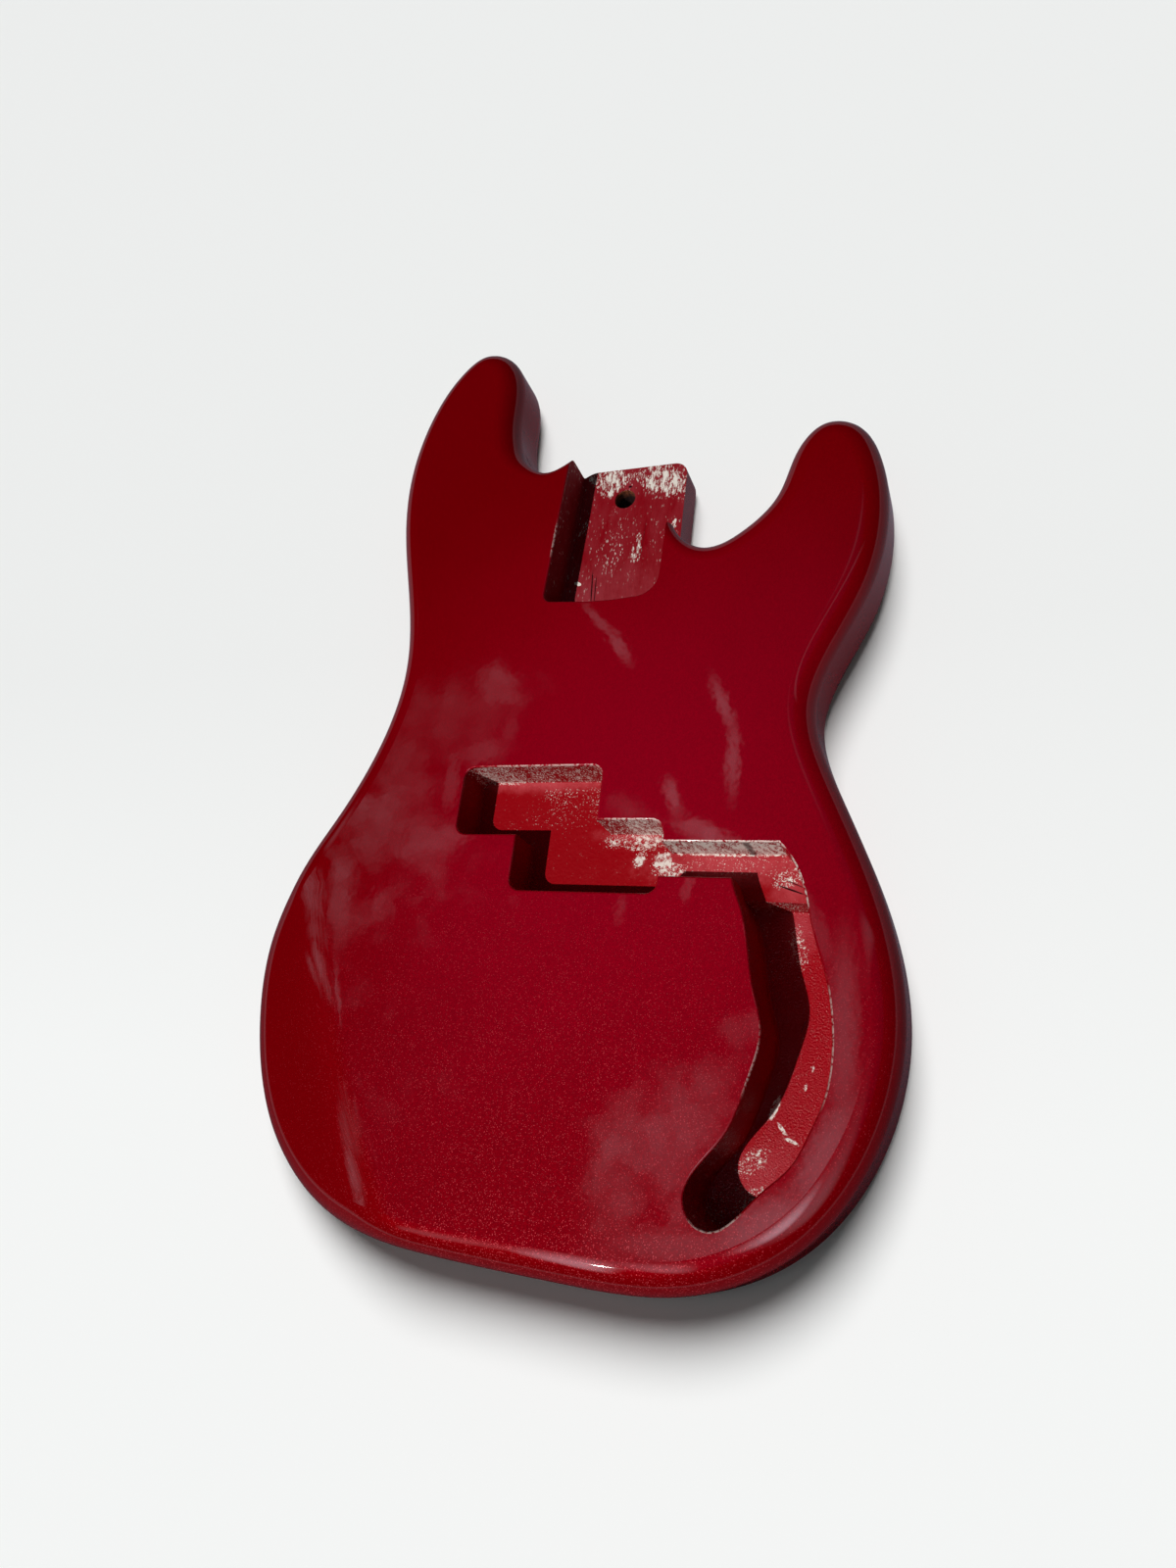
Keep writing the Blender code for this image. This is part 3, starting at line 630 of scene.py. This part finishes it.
def control_cutter(name, coat, flare, fillet, shallow_material, deep_material):
    """Cutter of the wiring channel and control cavity: shallow at the top, deep past the step."""
    outline, (first, last) = control_outline(CHANNEL_TOP_Y - CONTROL_STEP - coat)
    rings = rout_rings(outline, coat, flare, 0.0, FACE_Z - CHANNEL_DEPTH)
    count = len(outline)
    vertices = [(x, y, z) for ring, z in rings for x, y in ring]
    faces = [tuple(range((len(rings) - 1) * count, len(rings) * count)),
             tuple(i for i in range(count) if i <= first or i >= last)]
    materials = [0, shallow_material]
    walls = [deep_material if first <= i < last else shallow_material for i in range(count)]
    for row in range(len(rings) - 1):
        faces += band(row * count, (row + 1) * count, count)
        materials += walls if row == 0 else [1] * count
    deep_count = last + 1 - first
    upper = first
    for angle in np.linspace(math.pi / 2.0, 0.0, FILLET_STEPS + 1 if fillet else 1):
        ring = grown(rings[0][0][first:last + 1], -fillet * (1.0 - math.sin(angle)))
        z = FACE_Z - CONTROL_DEPTH + coat + fillet * (1.0 - math.cos(angle))
        under = len(vertices)
        vertices += [(x, y, z) for x, y in ring]
        faces += band(under, upper, deep_count)
        materials += [deep_material] * deep_count
        upper = under
    faces.append(tuple(range(upper, upper + deep_count)))
    materials.append(deep_material)
    return mesh_object(name, vertices, faces, materials)


def evaluated_mesh(obj):
    """Mesh of an object with its modifiers applied."""
    graph = bpy.context.evaluated_depsgraph_get()
    return bpy.data.meshes.new_from_object(obj.evaluated_get(graph), depsgraph=graph)


def cut(obj, cutters):
    """Cut the cutters out of the object, one after the other, and remove them."""
    for tool in cutters:
        modifier = obj.modifiers.new(tool.name, "BOOLEAN")
        modifier.operation = "DIFFERENCE"
        modifier.solver = "EXACT"
        modifier.object = tool
    obj.data = evaluated_mesh(obj)
    obj.modifiers.clear()
    for tool in cutters:
        bpy.data.objects.remove(tool, do_unlink=True)


def carved_form(name, coat, flare, fillet, finishes, coarseness):
    """The body's form with its routs, every surface moved out of the wood by the coat's thickness."""
    form = body_form(name, coat, coarseness)
    in_routs, in_control, in_pocket = range(2, len(finishes))
    pickup_floor = FACE_Z - PICKUP_DEPTH
    cutters = [
        cutter("neck_pocket", neck_pocket_outline(), FACE_Z - POCKET_DEPTH, coat, flare, fillet, in_pocket),
        cutter("bass_rout", pickup_outline(BASS_PICKUP), pickup_floor, coat, flare, fillet, in_routs),
        cutter("treble_rout", pickup_outline(TREBLE_PICKUP), pickup_floor, coat, flare, fillet, in_routs),
        control_cutter("control_rout", coat, flare, fillet, in_routs, in_control),
    ]
    for obj in [form] + cutters:
        for material in finishes:
            obj.data.materials.append(material)
    cut(form, cutters)
    return form


def part_rims_from_face(mesh):
    """Mark the edges between the outside and the rims as sharp, so that the flat face shades flat."""
    work = bmesh.new()
    work.from_mesh(mesh)
    for edge in work.edges:
        if {face.material_index for face in edge.link_faces} == {0, 1}:
            edge.smooth = False
    work.to_mesh(mesh)
    work.free()


def lacquer_film(name, sizes, finishes):
    """The dried lacquer as a thin closed film round the boards, open only over the hole in the pocket."""
    film = carved_form(name, sizes.thickness, sizes.rim_round, sizes.floor_fillet, finishes, 1)
    lining = carved_form(name + "_lining", sizes.thickness * FILM_GAP_SHARE, 0.0, 0.0, finishes,
                         LINING_COARSENESS)
    work = bmesh.new()
    work.from_mesh(lining.data)
    bmesh.ops.reverse_faces(work, faces=work.faces)
    work.from_mesh(film.data)
    work.to_mesh(film.data)
    work.free()
    bpy.data.objects.remove(lining, do_unlink=True)
    ring = circle(NECK_HOLE, NECK_HOLE_RADIUS, HOLE_SIDES)
    vertices = [(x, y, FACE_Z - POCKET_DEPTH + reach) for reach in HOLE_CUT_FROM_FLOOR for x, y in ring]
    faces = [tuple(range(HOLE_SIDES)), tuple(range(HOLE_SIDES, 2 * HOLE_SIDES))]
    faces += band(0, HOLE_SIDES, HOLE_SIDES)
    drill = mesh_object("neck_hole", vertices, faces, [len(finishes) - 1] * len(faces))
    for material in finishes:
        drill.data.materials.append(material)
    cut(film, [drill])
    film.data.shade_smooth()
    film.data.set_sharp_from_angle(angle=SHARP_ANGLE)
    part_rims_from_face(film.data)
    normals = film.modifiers.new("normals", "WEIGHTED_NORMAL")
    normals.mode = "FACE_AREA"
    normals.keep_sharp = True
    film.data = evaluated_mesh(film)
    film.modifiers.clear()
    return film


def add_node(tree, kind, settings=None, links=None):
    """Add a node, set its properties or sockets, and link its sockets to outputs or first outputs."""
    node = tree.nodes.new("ShaderNode" + kind)
    for key, value in (settings or {}).items():
        if isinstance(key, str) and key in node.bl_rna.properties:
            setattr(node, key, value)
        else:
            node.inputs[key].default_value = value
    for key, source in (links or {}).items():
        tree.links.new(source if isinstance(source, bpy.types.NodeSocket) else source.outputs[0],
                       node.inputs[key])
    return node


def new_material(name):
    """Empty node material, the function that adds its nodes, and its place on the object in millimetres."""
    material = bpy.data.materials.new(name)
    material.use_nodes = True
    material.node_tree.nodes.clear()
    add = partial(add_node, material.node_tree)
    where = add("TexCoord")
    place = add("VectorMath", {"operation": "SCALE", "Scale": 1.0 / MM}, {0: where.outputs["Object"]})
    return material, add, place


def patch_mask(add, place, patches, ragged, ragged_mm, soft_from=1.25, soft_to=0.65):
    """Mask of elliptical patches in mm: x, y, half length, half width, turn in degrees and strength.

    Each one fades between soft_from and soft_to of its own reach, and noise of ragged_mm tears it.
    """
    noise = add("TexNoise", {"Scale": 1.0 / ragged_mm, "Detail": 4.0}, {"Vector": place})
    total = None
    for x, y, half_length, half_width, turn, strength in patches:
        local = add("Mapping", {"vector_type": "TEXTURE", "Location": (x, y, 0.0),
                                "Rotation": (0.0, 0.0, math.radians(turn)),
                                "Scale": (half_length, half_width, THROUGH_MM)}, {"Vector": place})
        reach = add("VectorMath", {"operation": "LENGTH"}, {0: local})
        torn = add("Math", {"operation": "MULTIPLY_ADD", 1: ragged}, {0: noise, 2: reach.outputs[1]})
        soft = add("MapRange", {"interpolation_type": "SMOOTHSTEP", 1: soft_from + ragged / 2.0,
                                2: soft_to + ragged / 2.0, 3: 0.0, 4: strength}, {0: torn})
        total = soft if total is None else add("Math", {"operation": "MAXIMUM"}, {0: total, 1: soft})
    return total


def candy_lacquer(colours, worn):
    """Candy apple metallic: clear polyester over red with fine metal flake, flatted and polished.

    The eye gets a deep red that is bright towards the light and painted brighter in the middle of the
    face as a painted sheen, single flakes painted pale as painted glints, and a wet mirror gloss with
    a slight orange peel. The worn one, on the rims of the routs, is scuffed down to its pale primer.
    """
    material, add, mm = new_material("candy_red_lacquer_rim" if worn else "candy_red_polyester_lacquer")
    grains = add("TexVoronoi", {"Scale": 1.0 / GRAIN_MM}, {"Vector": mm})
    spread = add("VectorMath", {"operation": "SUBTRACT", 1: (0.5, 0.5, 0.5)}, {0: grains.outputs["Color"]})
    tilt = add("VectorMath", {"operation": "SCALE", "Scale": GRAIN_TILT}, {0: spread})
    surface = add("NewGeometry")
    tilted = add("VectorMath", {"operation": "ADD"}, {0: surface.outputs["Normal"], 1: tilt})
    grain_normal = add("VectorMath", {"operation": "NORMALIZE"}, {0: tilted})
    # Painted glints: single flakes get the pale flake colour in the base colour, more of them inside the
    # glint patches
    flakes = add("TexVoronoi", {"Scale": 1.0 / FLAKE_GAP_MM}, {"Vector": mm})
    near = add("MapRange", {1: 0.5 * FLAKE_MM / FLAKE_GAP_MM, 2: 0.3 * FLAKE_MM / FLAKE_GAP_MM},
               {0: flakes.outputs["Distance"]})
    chance = add("SeparateColor", None, {"Color": flakes.outputs["Color"]})
    painted_glint_density = patch_mask(add, mm, PAINTED_GLINTS, ragged=0.9, ragged_mm=50.0, soft_from=1.7, soft_to=0.0)
    needed = add("MapRange", {3: 0.99, 4: 0.48}, {0: painted_glint_density})
    above = add("Math", {"operation": "SUBTRACT"}, {0: chance.outputs[2], 1: needed})
    turned = add("MapRange", {1: 0.0, 2: 0.6}, {0: above})
    bright = add("Math", {"operation": "MULTIPLY"}, {0: near, 1: turned})
    # Painted sheen: the red turns from the deep colour to the brighter one in the middle of the face
    shade = patch_mask(add, mm, PAINTED_SHEEN, ragged=0.6, ragged_mm=80.0, soft_from=1.5, soft_to=0.2)
    body = add("Mix", {"data_type": "RGBA", 6: colours.lacquer_outside_sheen, 7: colours.lacquer}, {0: shade})
    mixed = add("Mix", {"data_type": "RGBA", 7: colours.flake}, {0: bright, 6: body.outputs[2]})
    if worn:
        scuffs = patch_mask(add, mm, WORN_RIMS, ragged=0.8, ragged_mm=5.0)
        crumbs = add("TexNoise", {"Scale": 1.0 / CRUMB_MM, "Detail": 4.0}, {"Vector": mm})
        broken = add("MapRange", {1: 0.40, 2: 0.52}, {0: crumbs})
        bare = add("Math", {"operation": "MULTIPLY"}, {0: scuffs, 1: broken})
        mixed = add("Mix", {"data_type": "RGBA", 7: colours.primer}, {0: bare, 6: mixed.outputs[2]})
    peel = add("TexNoise", {"Scale": 1.0 / PEEL_MM, "Detail": 1.0}, {"Vector": mm})
    waves = add("Bump", {"Strength": 0.05, "Distance": PEEL_HEIGHT}, {"Height": peel})
    shader = add("BsdfPrincipled", {"Metallic": 0.25, "Roughness": 0.55,
                                    "Specular IOR Level": 0.0, "Specular Tint": RED_EDGE_TINT,
                                    "Coat Weight": 1.0, "Coat Roughness": 0.02, "Coat IOR": 1.5},
                 {"Base Color": mixed.outputs[2], "Normal": grain_normal, "Coat Normal": waves})
    add("OutputMaterial", None, {"Surface": shader})
    return material


def overspray(name, colours, look):
    """Red overspray on routed, sealed alder: thin and dusty, with pale primer where it missed.

    The eye gets a matt, sandy red, paler on the walls that faced away from the gun, with cream
    specks and chips down to the primer.
    """
    material, add, mm = new_material(name)
    drawn = add("Mapping", {"Scale": look["grain_scale"]}, {"Vector": mm})
    wander = add("TexNoise", {"Scale": 1.0 / CRUMB_MM, "Detail": 2.0}, {"Vector": drawn})
    shifted = add("VectorMath", {"operation": "MULTIPLY_ADD", 1: (0.7, 0.7, 0.7)},
                  {0: wander.outputs["Color"], 2: drawn})
    grit = add("TexVoronoi", {"Scale": 1.0 / GRIT_MM}, {"Vector": shifted})
    chance = add("SeparateColor", None, {"Color": grit.outputs["Color"]})
    drift = add("TexNoise", {"Scale": 1.0 / DRIFT_MM, "Detail": 5.0, "Roughness": 0.6}, {"Vector": drawn})
    uneven = add("MapRange", {1: 0.35, 2: 0.65}, {0: drift})
    surface = add("NewGeometry")
    facing = add("VectorMath", {"operation": "DOT_PRODUCT", 1: SPRAY_DIRECTION},
                 {0: surface.outputs["Normal"]})
    far_wall = add("MapRange", {"interpolation_type": "SMOOTHSTEP", 1: 0.45, 2: 0.9,
                                4: look["far_wall"]}, {0: facing.outputs[1]})
    patches = patch_mask(add, mm, look["chips"], ragged=0.5, ragged_mm=3.0)
    flaking = add("TexNoise", {"Scale": 1.0 / FLAKING_MM, "Detail": 8.0, "Roughness": 0.7}, {"Vector": drawn})
    grip = add("MapRange", {1: 0.33, 2: 0.67, 3: 0.22}, {0: flaking})
    past_grip = add("Math", {"operation": "SUBTRACT"}, {0: patches, 1: grip})
    chip = add("MapRange", {1: 0.0, 2: 0.16}, {0: past_grip})
    near_chips = add("Math", {"operation": "MULTIPLY_ADD", 1: 0.5}, {0: patches, 2: far_wall})
    ragged = add("Math", {"operation": "MULTIPLY_ADD", 1: 0.75, 2: 0.5}, {0: uneven})
    amount = add("Math", {"operation": "MULTIPLY"}, {0: near_chips, 1: ragged})
    sprinkle = add("Math", {"operation": "MULTIPLY_ADD", 1: look["sprinkle"]}, {0: uneven, 2: amount})
    margin = add("Math", {"operation": "SUBTRACT"}, {0: sprinkle, 1: chance.outputs[0]})
    speck = add("MapRange", {1: 0.0, 2: 0.12}, {0: margin})
    tone = add("MapRange", {3: 0.3, 4: 1.0}, {0: chance.outputs[1]})
    toned = add("Math", {"operation": "MULTIPLY"}, {0: speck, 1: tone})
    bare = add("Math", {"operation": "MAXIMUM"}, {0: toned, 1: chip})
    hazy = patch_mask(add, mm, look["haze"], ragged=1.2, ragged_mm=3.5, soft_from=1.5, soft_to=0.0)
    level = add("SeparateXYZ", None, {0: surface.outputs["Normal"]})
    settled = add("Math", {"operation": "MULTIPLY"}, {0: hazy, 1: level.outputs[2]})
    thinned = add("Math", {"operation": "MULTIPLY_ADD", 1: 0.25}, {0: amount, 2: settled})
    haze = add("Math", {"operation": "MULTIPLY_ADD", 1: look["mist"]}, {0: uneven, 2: thinned})
    red = add("Mix", {"data_type": "RGBA", 6: look["red"], 7: look["rose"]}, {0: haze})
    dusted = add("Mix", {"data_type": "RGBA", 7: colours.primer}, {0: bare, 6: red.outputs[2]})
    cracked = patch_mask(add, mm, look["cracks"], ragged=0.6, ragged_mm=2.0)
    coloured = add("Mix", {"data_type": "RGBA", 7: colours.crack}, {0: cracked, 6: dusted.outputs[2]})
    relief = add("TexNoise", {"Scale": 1.0 / look["relief_mm"], "Detail": 3.0}, {"Vector": drawn})
    rough = add("MapRange", {3: look["roughness"], 4: 0.8}, {0: bare})
    bumps = add("Bump", {"Strength": look["relief"], "Distance": DUST_HEIGHT}, {"Height": relief})
    shader = add("BsdfPrincipled", {"IOR": 1.5, "Specular IOR Level": 0.05,
                                    "Coat Weight": look["gloss"], "Coat Roughness": 0.12, "Coat IOR": 1.5},
                 {"Base Color": coloured.outputs[2], "Roughness": rough, "Normal": bumps,
                  "Coat Normal": bumps})
    add("OutputMaterial", None, {"Surface": shader})
    return material


def bare_alder(colours):
    """Sawn and planed alder, unfinished: the eye gets a matt tan with fine, close grain along the body."""
    material, add, mm = new_material("bare_alder_wood")
    along = add("Mapping", {"Scale": (1.0, 0.06, 1.0)}, {"Vector": mm})
    grain = add("TexNoise", {"Scale": 1.0 / STREAK_MM, "Detail": 6.0, "Distortion": 0.6}, {"Vector": along})
    tone = add("MapRange", {1: 0.3, 2: 0.7}, {0: grain})
    height = add("SeparateXYZ", None, {0: mm})
    # Painted shade: the wood darkens towards the bottom of the pocket's hole, where little light reaches
    painted_hole_shade = add("MapRange", {1: HOLE_SHADE_MM[0], 2: HOLE_SHADE_MM[1]}, {0: height.outputs[2]})
    light = add("Math", {"operation": "MULTIPLY"}, {0: tone, 1: painted_hole_shade})
    wood = add("Mix", {"data_type": "RGBA", 6: colours.wood_grain_and_hole_shade, 7: colours.wood}, {0: light})
    pores = add("Bump", {"Strength": 0.3, "Distance": STREAK_HEIGHT}, {"Height": grain})
    shader = add("BsdfPrincipled", {"Roughness": 0.75, "IOR": 1.45},
                 {"Base Color": wood.outputs[2], "Normal": pores})
    add("OutputMaterial", None, {"Surface": shader})
    return material


def pale_floor(stage):
    """Matt painted studio floor: the eye gets an even, very pale grey that keeps a soft shadow.

    Gloss sees it darker, darkest near the camera: painted shade in its reflection, for a shadowed ground.
    """
    material, add, mm = new_material("matt_white_floor_paint")
    along = add("SeparateXYZ", None, {0: mm})
    wash = add("MapRange", {1: FLOOR_TURN_MM[0], 2: FLOOR_TURN_MM[1]}, {0: along.outputs[1]})
    tone = add("Mix", {"data_type": "RGBA", 6: stage.floor, 7: stage.floor_far}, {0: wash})
    # Painted shade in reflections: to gloss, the floor shows in darker colours than it is lit
    rays = add("LightPath")
    mirrored = add("Mix", {"data_type": "RGBA", 6: stage.floor_painted_shade_in_gloss, 7: stage.floor_painted_shade_in_gloss_far},
                   {0: wash})
    floor_with_painted_gloss_shade = add("Mix", {"data_type": "RGBA"},
              {0: rays.outputs["Is Glossy Ray"], 6: tone.outputs[2], 7: mirrored.outputs[2]})
    shader = add("BsdfPrincipled", {"Roughness": 0.9, "Specular IOR Level": 0.2},
                 {"Base Color": floor_with_painted_gloss_shade.outputs[2]})
    add("OutputMaterial", None, {"Surface": shader})
    return material


def open_sky(stage):
    """World: a pale backdrop to the camera, an even dim light to matt surfaces, and a sky to gloss.

    The sky is dark blue overhead, pale low down, and has its clouds where the flat face mirrors them.
    """
    world = bpy.data.worlds.new("studio_surroundings")
    bpy.context.scene.world = world
    world.use_nodes = True
    world.node_tree.nodes.clear()
    add = partial(add_node, world.node_tree)
    where = add("TexCoord")
    axes = add("SeparateXYZ", None, {0: where.outputs["Generated"]})
    up = add("Math", {"operation": "MAXIMUM", 1: 0.05}, {0: axes.outputs[2]})
    rise = add("Math", {"operation": "DIVIDE", 0: (CAMERA_PLACE[2] - FACE_Z) / MM}, {1: up})
    reach = add("VectorMath", {"operation": "SCALE"}, {0: where.outputs["Generated"], "Scale": rise})
    origin = (CAMERA_PLACE[0] / MM, CAMERA_PLACE[1] / MM, 0.0)
    mirrored = add("VectorMath", {"operation": "ADD", 1: origin}, {0: reach})
    clouds = patch_mask(add, mirrored, SKY_CLOUDS, ragged=2.4, ragged_mm=15.0, soft_from=1.6, soft_to=0.1)
    fleece = add("TexNoise", {"Scale": 1.0 / FLEECE_MM, "Detail": 6.0, "Distortion": 1.0},
                 {"Vector": mirrored})
    thin = add("MapRange", {1: 0.3, 2: 0.7, 3: 0.5, 4: 1.4}, {0: fleece})
    cloud = add("Math", {"operation": "MULTIPLY"}, {0: clouds, 1: thin})
    glows = patch_mask(add, mirrored, SKY_GLOWS, ragged=0.15, ragged_mm=20.0, soft_from=1.6, soft_to=0.2)
    bright = add("Math", {"operation": "MAXIMUM"}, {0: cloud, 1: glows})
    low = add("MapRange", {"interpolation_type": "SMOOTHSTEP", 1: 0.17, 2: 0.05, 4: stage.low_light},
              {0: axes.outputs[2]})
    glow = add("Math", {"operation": "MAXIMUM"}, {0: bright, 1: low})
    height = add("MapRange", {"interpolation_type": "SMOOTHSTEP", 1: 0.77, 2: 0.88}, {0: axes.outputs[2]})
    around = add("Background", {"Color": stage.sky}, {"Strength": glow})
    above = add("Background", {"Color": stage.deep_sky}, {"Strength": height})
    seen = add("Background", {"Color": stage.backdrop, "Strength": 1.0})
    rays = add("LightPath")
    sky = add("AddShader", None, {0: around, 1: above})
    even = add("Background", {"Color": stage.ambient, "Strength": 1.0})
    lit = add("MixShader", None, {0: rays.outputs["Is Glossy Ray"], 1: even, 2: sky})
    both = add("MixShader", None, {0: rays.outputs["Is Camera Ray"], 1: lit, 2: seen})
    add("OutputWorld", None, {"Surface": both})


def sun_lamp(name, direction, strength, angle, tint, receivers):
    """Distant lamp that lights only the receivers."""
    lamp = bpy.data.lights.new(name, "SUN")
    lamp.energy = strength
    lamp.angle = angle
    lamp.color = tint
    obj = new_object(name, lamp)
    obj.rotation_mode = "QUATERNION"
    obj.rotation_quaternion = Vector(direction).to_track_quat("-Z", "Y")
    group = bpy.data.collections.new(name + "_receivers")
    for receiver in receivers:
        group.objects.link(receiver)
    obj.light_linking.receiver_collection = group


def place_camera():
    """Camera of the photograph: from above the bridge end, rolled as it was held."""
    data = bpy.data.cameras.new("photo_camera")
    data.lens = CAMERA_LENS
    data.sensor_width = CAMERA_SENSOR
    data.clip_start = CAMERA_CLIP
    camera = new_object("photo_camera", data)
    columns = (CAMERA_RIGHT, [-v for v in CAMERA_DOWN], [-v for v in CAMERA_FORWARD], CAMERA_PLACE)
    rows = [[column[i] for column in columns] for i in range(3)] + [[0.0, 0.0, 0.0, 1.0]]
    camera.matrix_world = Matrix(rows)
    bpy.context.scene.camera = camera


def size_property(name, description, default, least, most):
    """Length setting."""
    return FloatProperty(name=name, description=description, default=default, min=least, max=most,
                         precision=5, unit="LENGTH")


def colour_property(name, description, code):
    """Colour setting with its default given as an sRGB hex value."""
    return FloatVectorProperty(name=name, description=description, subtype="COLOR", size=4, min=0.0, max=1.0,
                               default=colour(code))


def strength_property(name, description, default):
    """Brightness setting."""
    return FloatProperty(name=name, description=description, default=default, min=0.0)


class CoatSizes(bpy.types.PropertyGroup):
    """Sizes of the lacquer film."""

    thickness: size_property("Film thickness", "How thick the dried lacquer stands on the wood",
                             0.6 * MM, 0.3 * MM, 1.5 * MM)
    rim_round: size_property("Rim rounding", "Rounding of the lacquer on the rims of the routs",
                             0.9 * MM, 0.2 * MM, 1.5 * MM)
    floor_fillet: size_property("Floor fillet", "Lacquer gathered in the corners of the routs",
                                1.0 * MM, 0.2 * MM, 3.0 * MM)


class FinishColours(bpy.types.PropertyGroup):
    """Colours of the lacquer, the overspray and the wood."""

    # Lacquer is the red in the middle of the painted sheen, and the deep one is the red where the painted
    # sheen fades, towards the horns and rims
    lacquer: colour_property("Lacquer", "Candy red on the outside", "#900014")
    lacquer_outside_sheen: colour_property("Lacquer, deep", "Candy red where it was sprayed thicker", "#770006")
    # Flake is the colour of the painted glints, which the flakes get whatever the light
    flake: colour_property("Flake", "Metal flake that catches the light", "#CE4A52")
    primer: colour_property("Primer", "Pale primer where the red is missing", "#E4DCD4")
    crack: colour_property("Cracks", "Dirt in the cracks and glue lines", "#240408")
    wood: colour_property("Wood", "Bare alder", "#C86C40")
    # The wood grain colour is also the painted shade at the bottom of the pocket's hole
    wood_grain_and_hole_shade: colour_property("Wood grain", "Darker grain, and the hole's dusty floor", "#220806")


class StageLook(bpy.types.PropertyGroup):
    """Floor, backdrop and lamps."""

    floor: colour_property("Floor", "Colour of the floor in front", "#F9F9F8")
    floor_far: colour_property("Floor, far", "Colour of the floor towards the neck", "#F1F1F0")
    # The two mirrored floor colours are painted shade, which only gloss sees
    floor_painted_shade_in_gloss: colour_property("Floor, mirrored", "Colour of the near floor in the lacquer", "#453C46")
    floor_painted_shade_in_gloss_far: colour_property("Floor, mirrored far", "Colour of the far floor in the lacquer",
                                        "#79717C")
    ambient: colour_property("Ambient", "Even light from all round", "#4B5252")
    backdrop: colour_property("Backdrop", "Colour behind the floor's edge", "#F0F0F0")
    sky: colour_property("Surroundings", "Tint of the clouds and the low surroundings", "#E2D6E4")
    deep_sky: colour_property("Overhead", "Deep blue straight above", "#181B49")
    key_strength: strength_property("Key light", "Strength of the sun on the body", 3.0)
    floor_strength: strength_property("Floor light", "Strength of the soft light on the floor", 3.3)
    low_light: strength_property("Low surroundings", "Brightness of the surroundings low down", 0.4)


class BASSBODY_OT_boards(bpy.types.Operator):
    """Dress the four boards in bare alder"""

    bl_idname = "bass_body.boards"
    bl_label = "Dress the boards"
    bl_options = {"REGISTER", "UNDO"}

    def execute(self, context):
        wood = bare_alder(context.scene.bass_body_colours)
        for name in BOARDS:
            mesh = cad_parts[name].data
            mesh.materials.clear()
            mesh.materials.append(wood)
        return {"FINISHED"}


class BASSBODY_OT_lacquer_coat(bpy.types.Operator):
    """Lay the lacquer film over the boards"""

    bl_idname = "bass_body.lacquer_coat"
    bl_label = "Lacquer the body"
    bl_options = {"REGISTER", "UNDO"}

    def execute(self, context):
        colours = context.scene.bass_body_colours
        finishes = [candy_lacquer(colours, worn=False), candy_lacquer(colours, worn=True)]
        finishes += [overspray(name, colours, look) for name, look in OVERSPRAY.items()]
        film = lacquer_film("lacquer_coat", context.scene.bass_body_coat, finishes)
        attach(film, "root")
        return {"FINISHED"}


class BASSBODY_OT_stage(bpy.types.Operator):
    """Set up the floor, the lamps, the surroundings and the camera"""

    bl_idname = "bass_body.stage"
    bl_label = "Set the stage"
    bl_options = {"REGISTER", "UNDO"}

    def execute(self, context):
        stage = context.scene.bass_body_stage
        rim = [(x, y, 0.0) for x, y in circle((0.0, 0.0), FLOOR_RADIUS, FLOOR_SIDES)]
        floor = mesh_object("floor", rim, [tuple(range(FLOOR_SIDES))])
        floor.data.materials.append(pale_floor(stage))
        body = [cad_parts[name] for name in BOARDS] + [bpy.data.objects["lacquer_coat"]]
        sun_lamp("key_sun", SUN_DIRECTION, stage.key_strength, SUN_ANGLE, SUN_TINT, body)
        sun_lamp("soft_floor_light", FLOOR_LIGHT_DIRECTION, stage.floor_strength, FLOOR_LIGHT_ANGLE,
                 FLOOR_LIGHT_TINT, [floor])
        open_sky(stage)
        place_camera()
        context.scene.view_settings.view_transform = "Standard"
        return {"FINISHED"}


class BASSBODY_PT_panel(bpy.types.Panel):
    """Buttons and settings of the bass body"""

    bl_label = "Bass body"
    bl_idname = "BASSBODY_PT_panel"
    bl_space_type = "VIEW_3D"
    bl_region_type = "UI"
    bl_category = "Bass body"

    def draw(self, context):
        for group in GROUPS:
            settings = getattr(context.scene, group)
            box = self.layout.box()
            box.label(text=settings.bl_rna.description)
            for key in settings.bl_rna.properties.keys():
                if key not in ("rna_type", "name"):
                    box.prop(settings, key)
        for operator in OPERATORS:
            self.layout.operator(operator.bl_idname)


GROUPS = {"bass_body_coat": CoatSizes, "bass_body_colours": FinishColours, "bass_body_stage": StageLook}
OPERATORS = (BASSBODY_OT_boards, BASSBODY_OT_lacquer_coat, BASSBODY_OT_stage)


def register():
    """Register the settings, the operators and the panel."""
    for attribute, group in GROUPS.items():
        bpy.utils.register_class(group)
        setattr(bpy.types.Scene, attribute, PointerProperty(type=group))
    for operator in OPERATORS:
        bpy.utils.register_class(operator)
    bpy.utils.register_class(BASSBODY_PT_panel)


def unregister():
    """Take everything out again."""
    bpy.utils.unregister_class(BASSBODY_PT_panel)
    for operator in reversed(OPERATORS):
        bpy.utils.unregister_class(operator)
    for attribute, group in GROUPS.items():
        delattr(bpy.types.Scene, attribute)
        bpy.utils.unregister_class(group)


def main():
    """Build the whole look."""
    register()
    bpy.ops.bass_body.boards()
    bpy.ops.bass_body.lacquer_coat()
    bpy.ops.bass_body.stage()


if __name__ == "__main__":
    main()
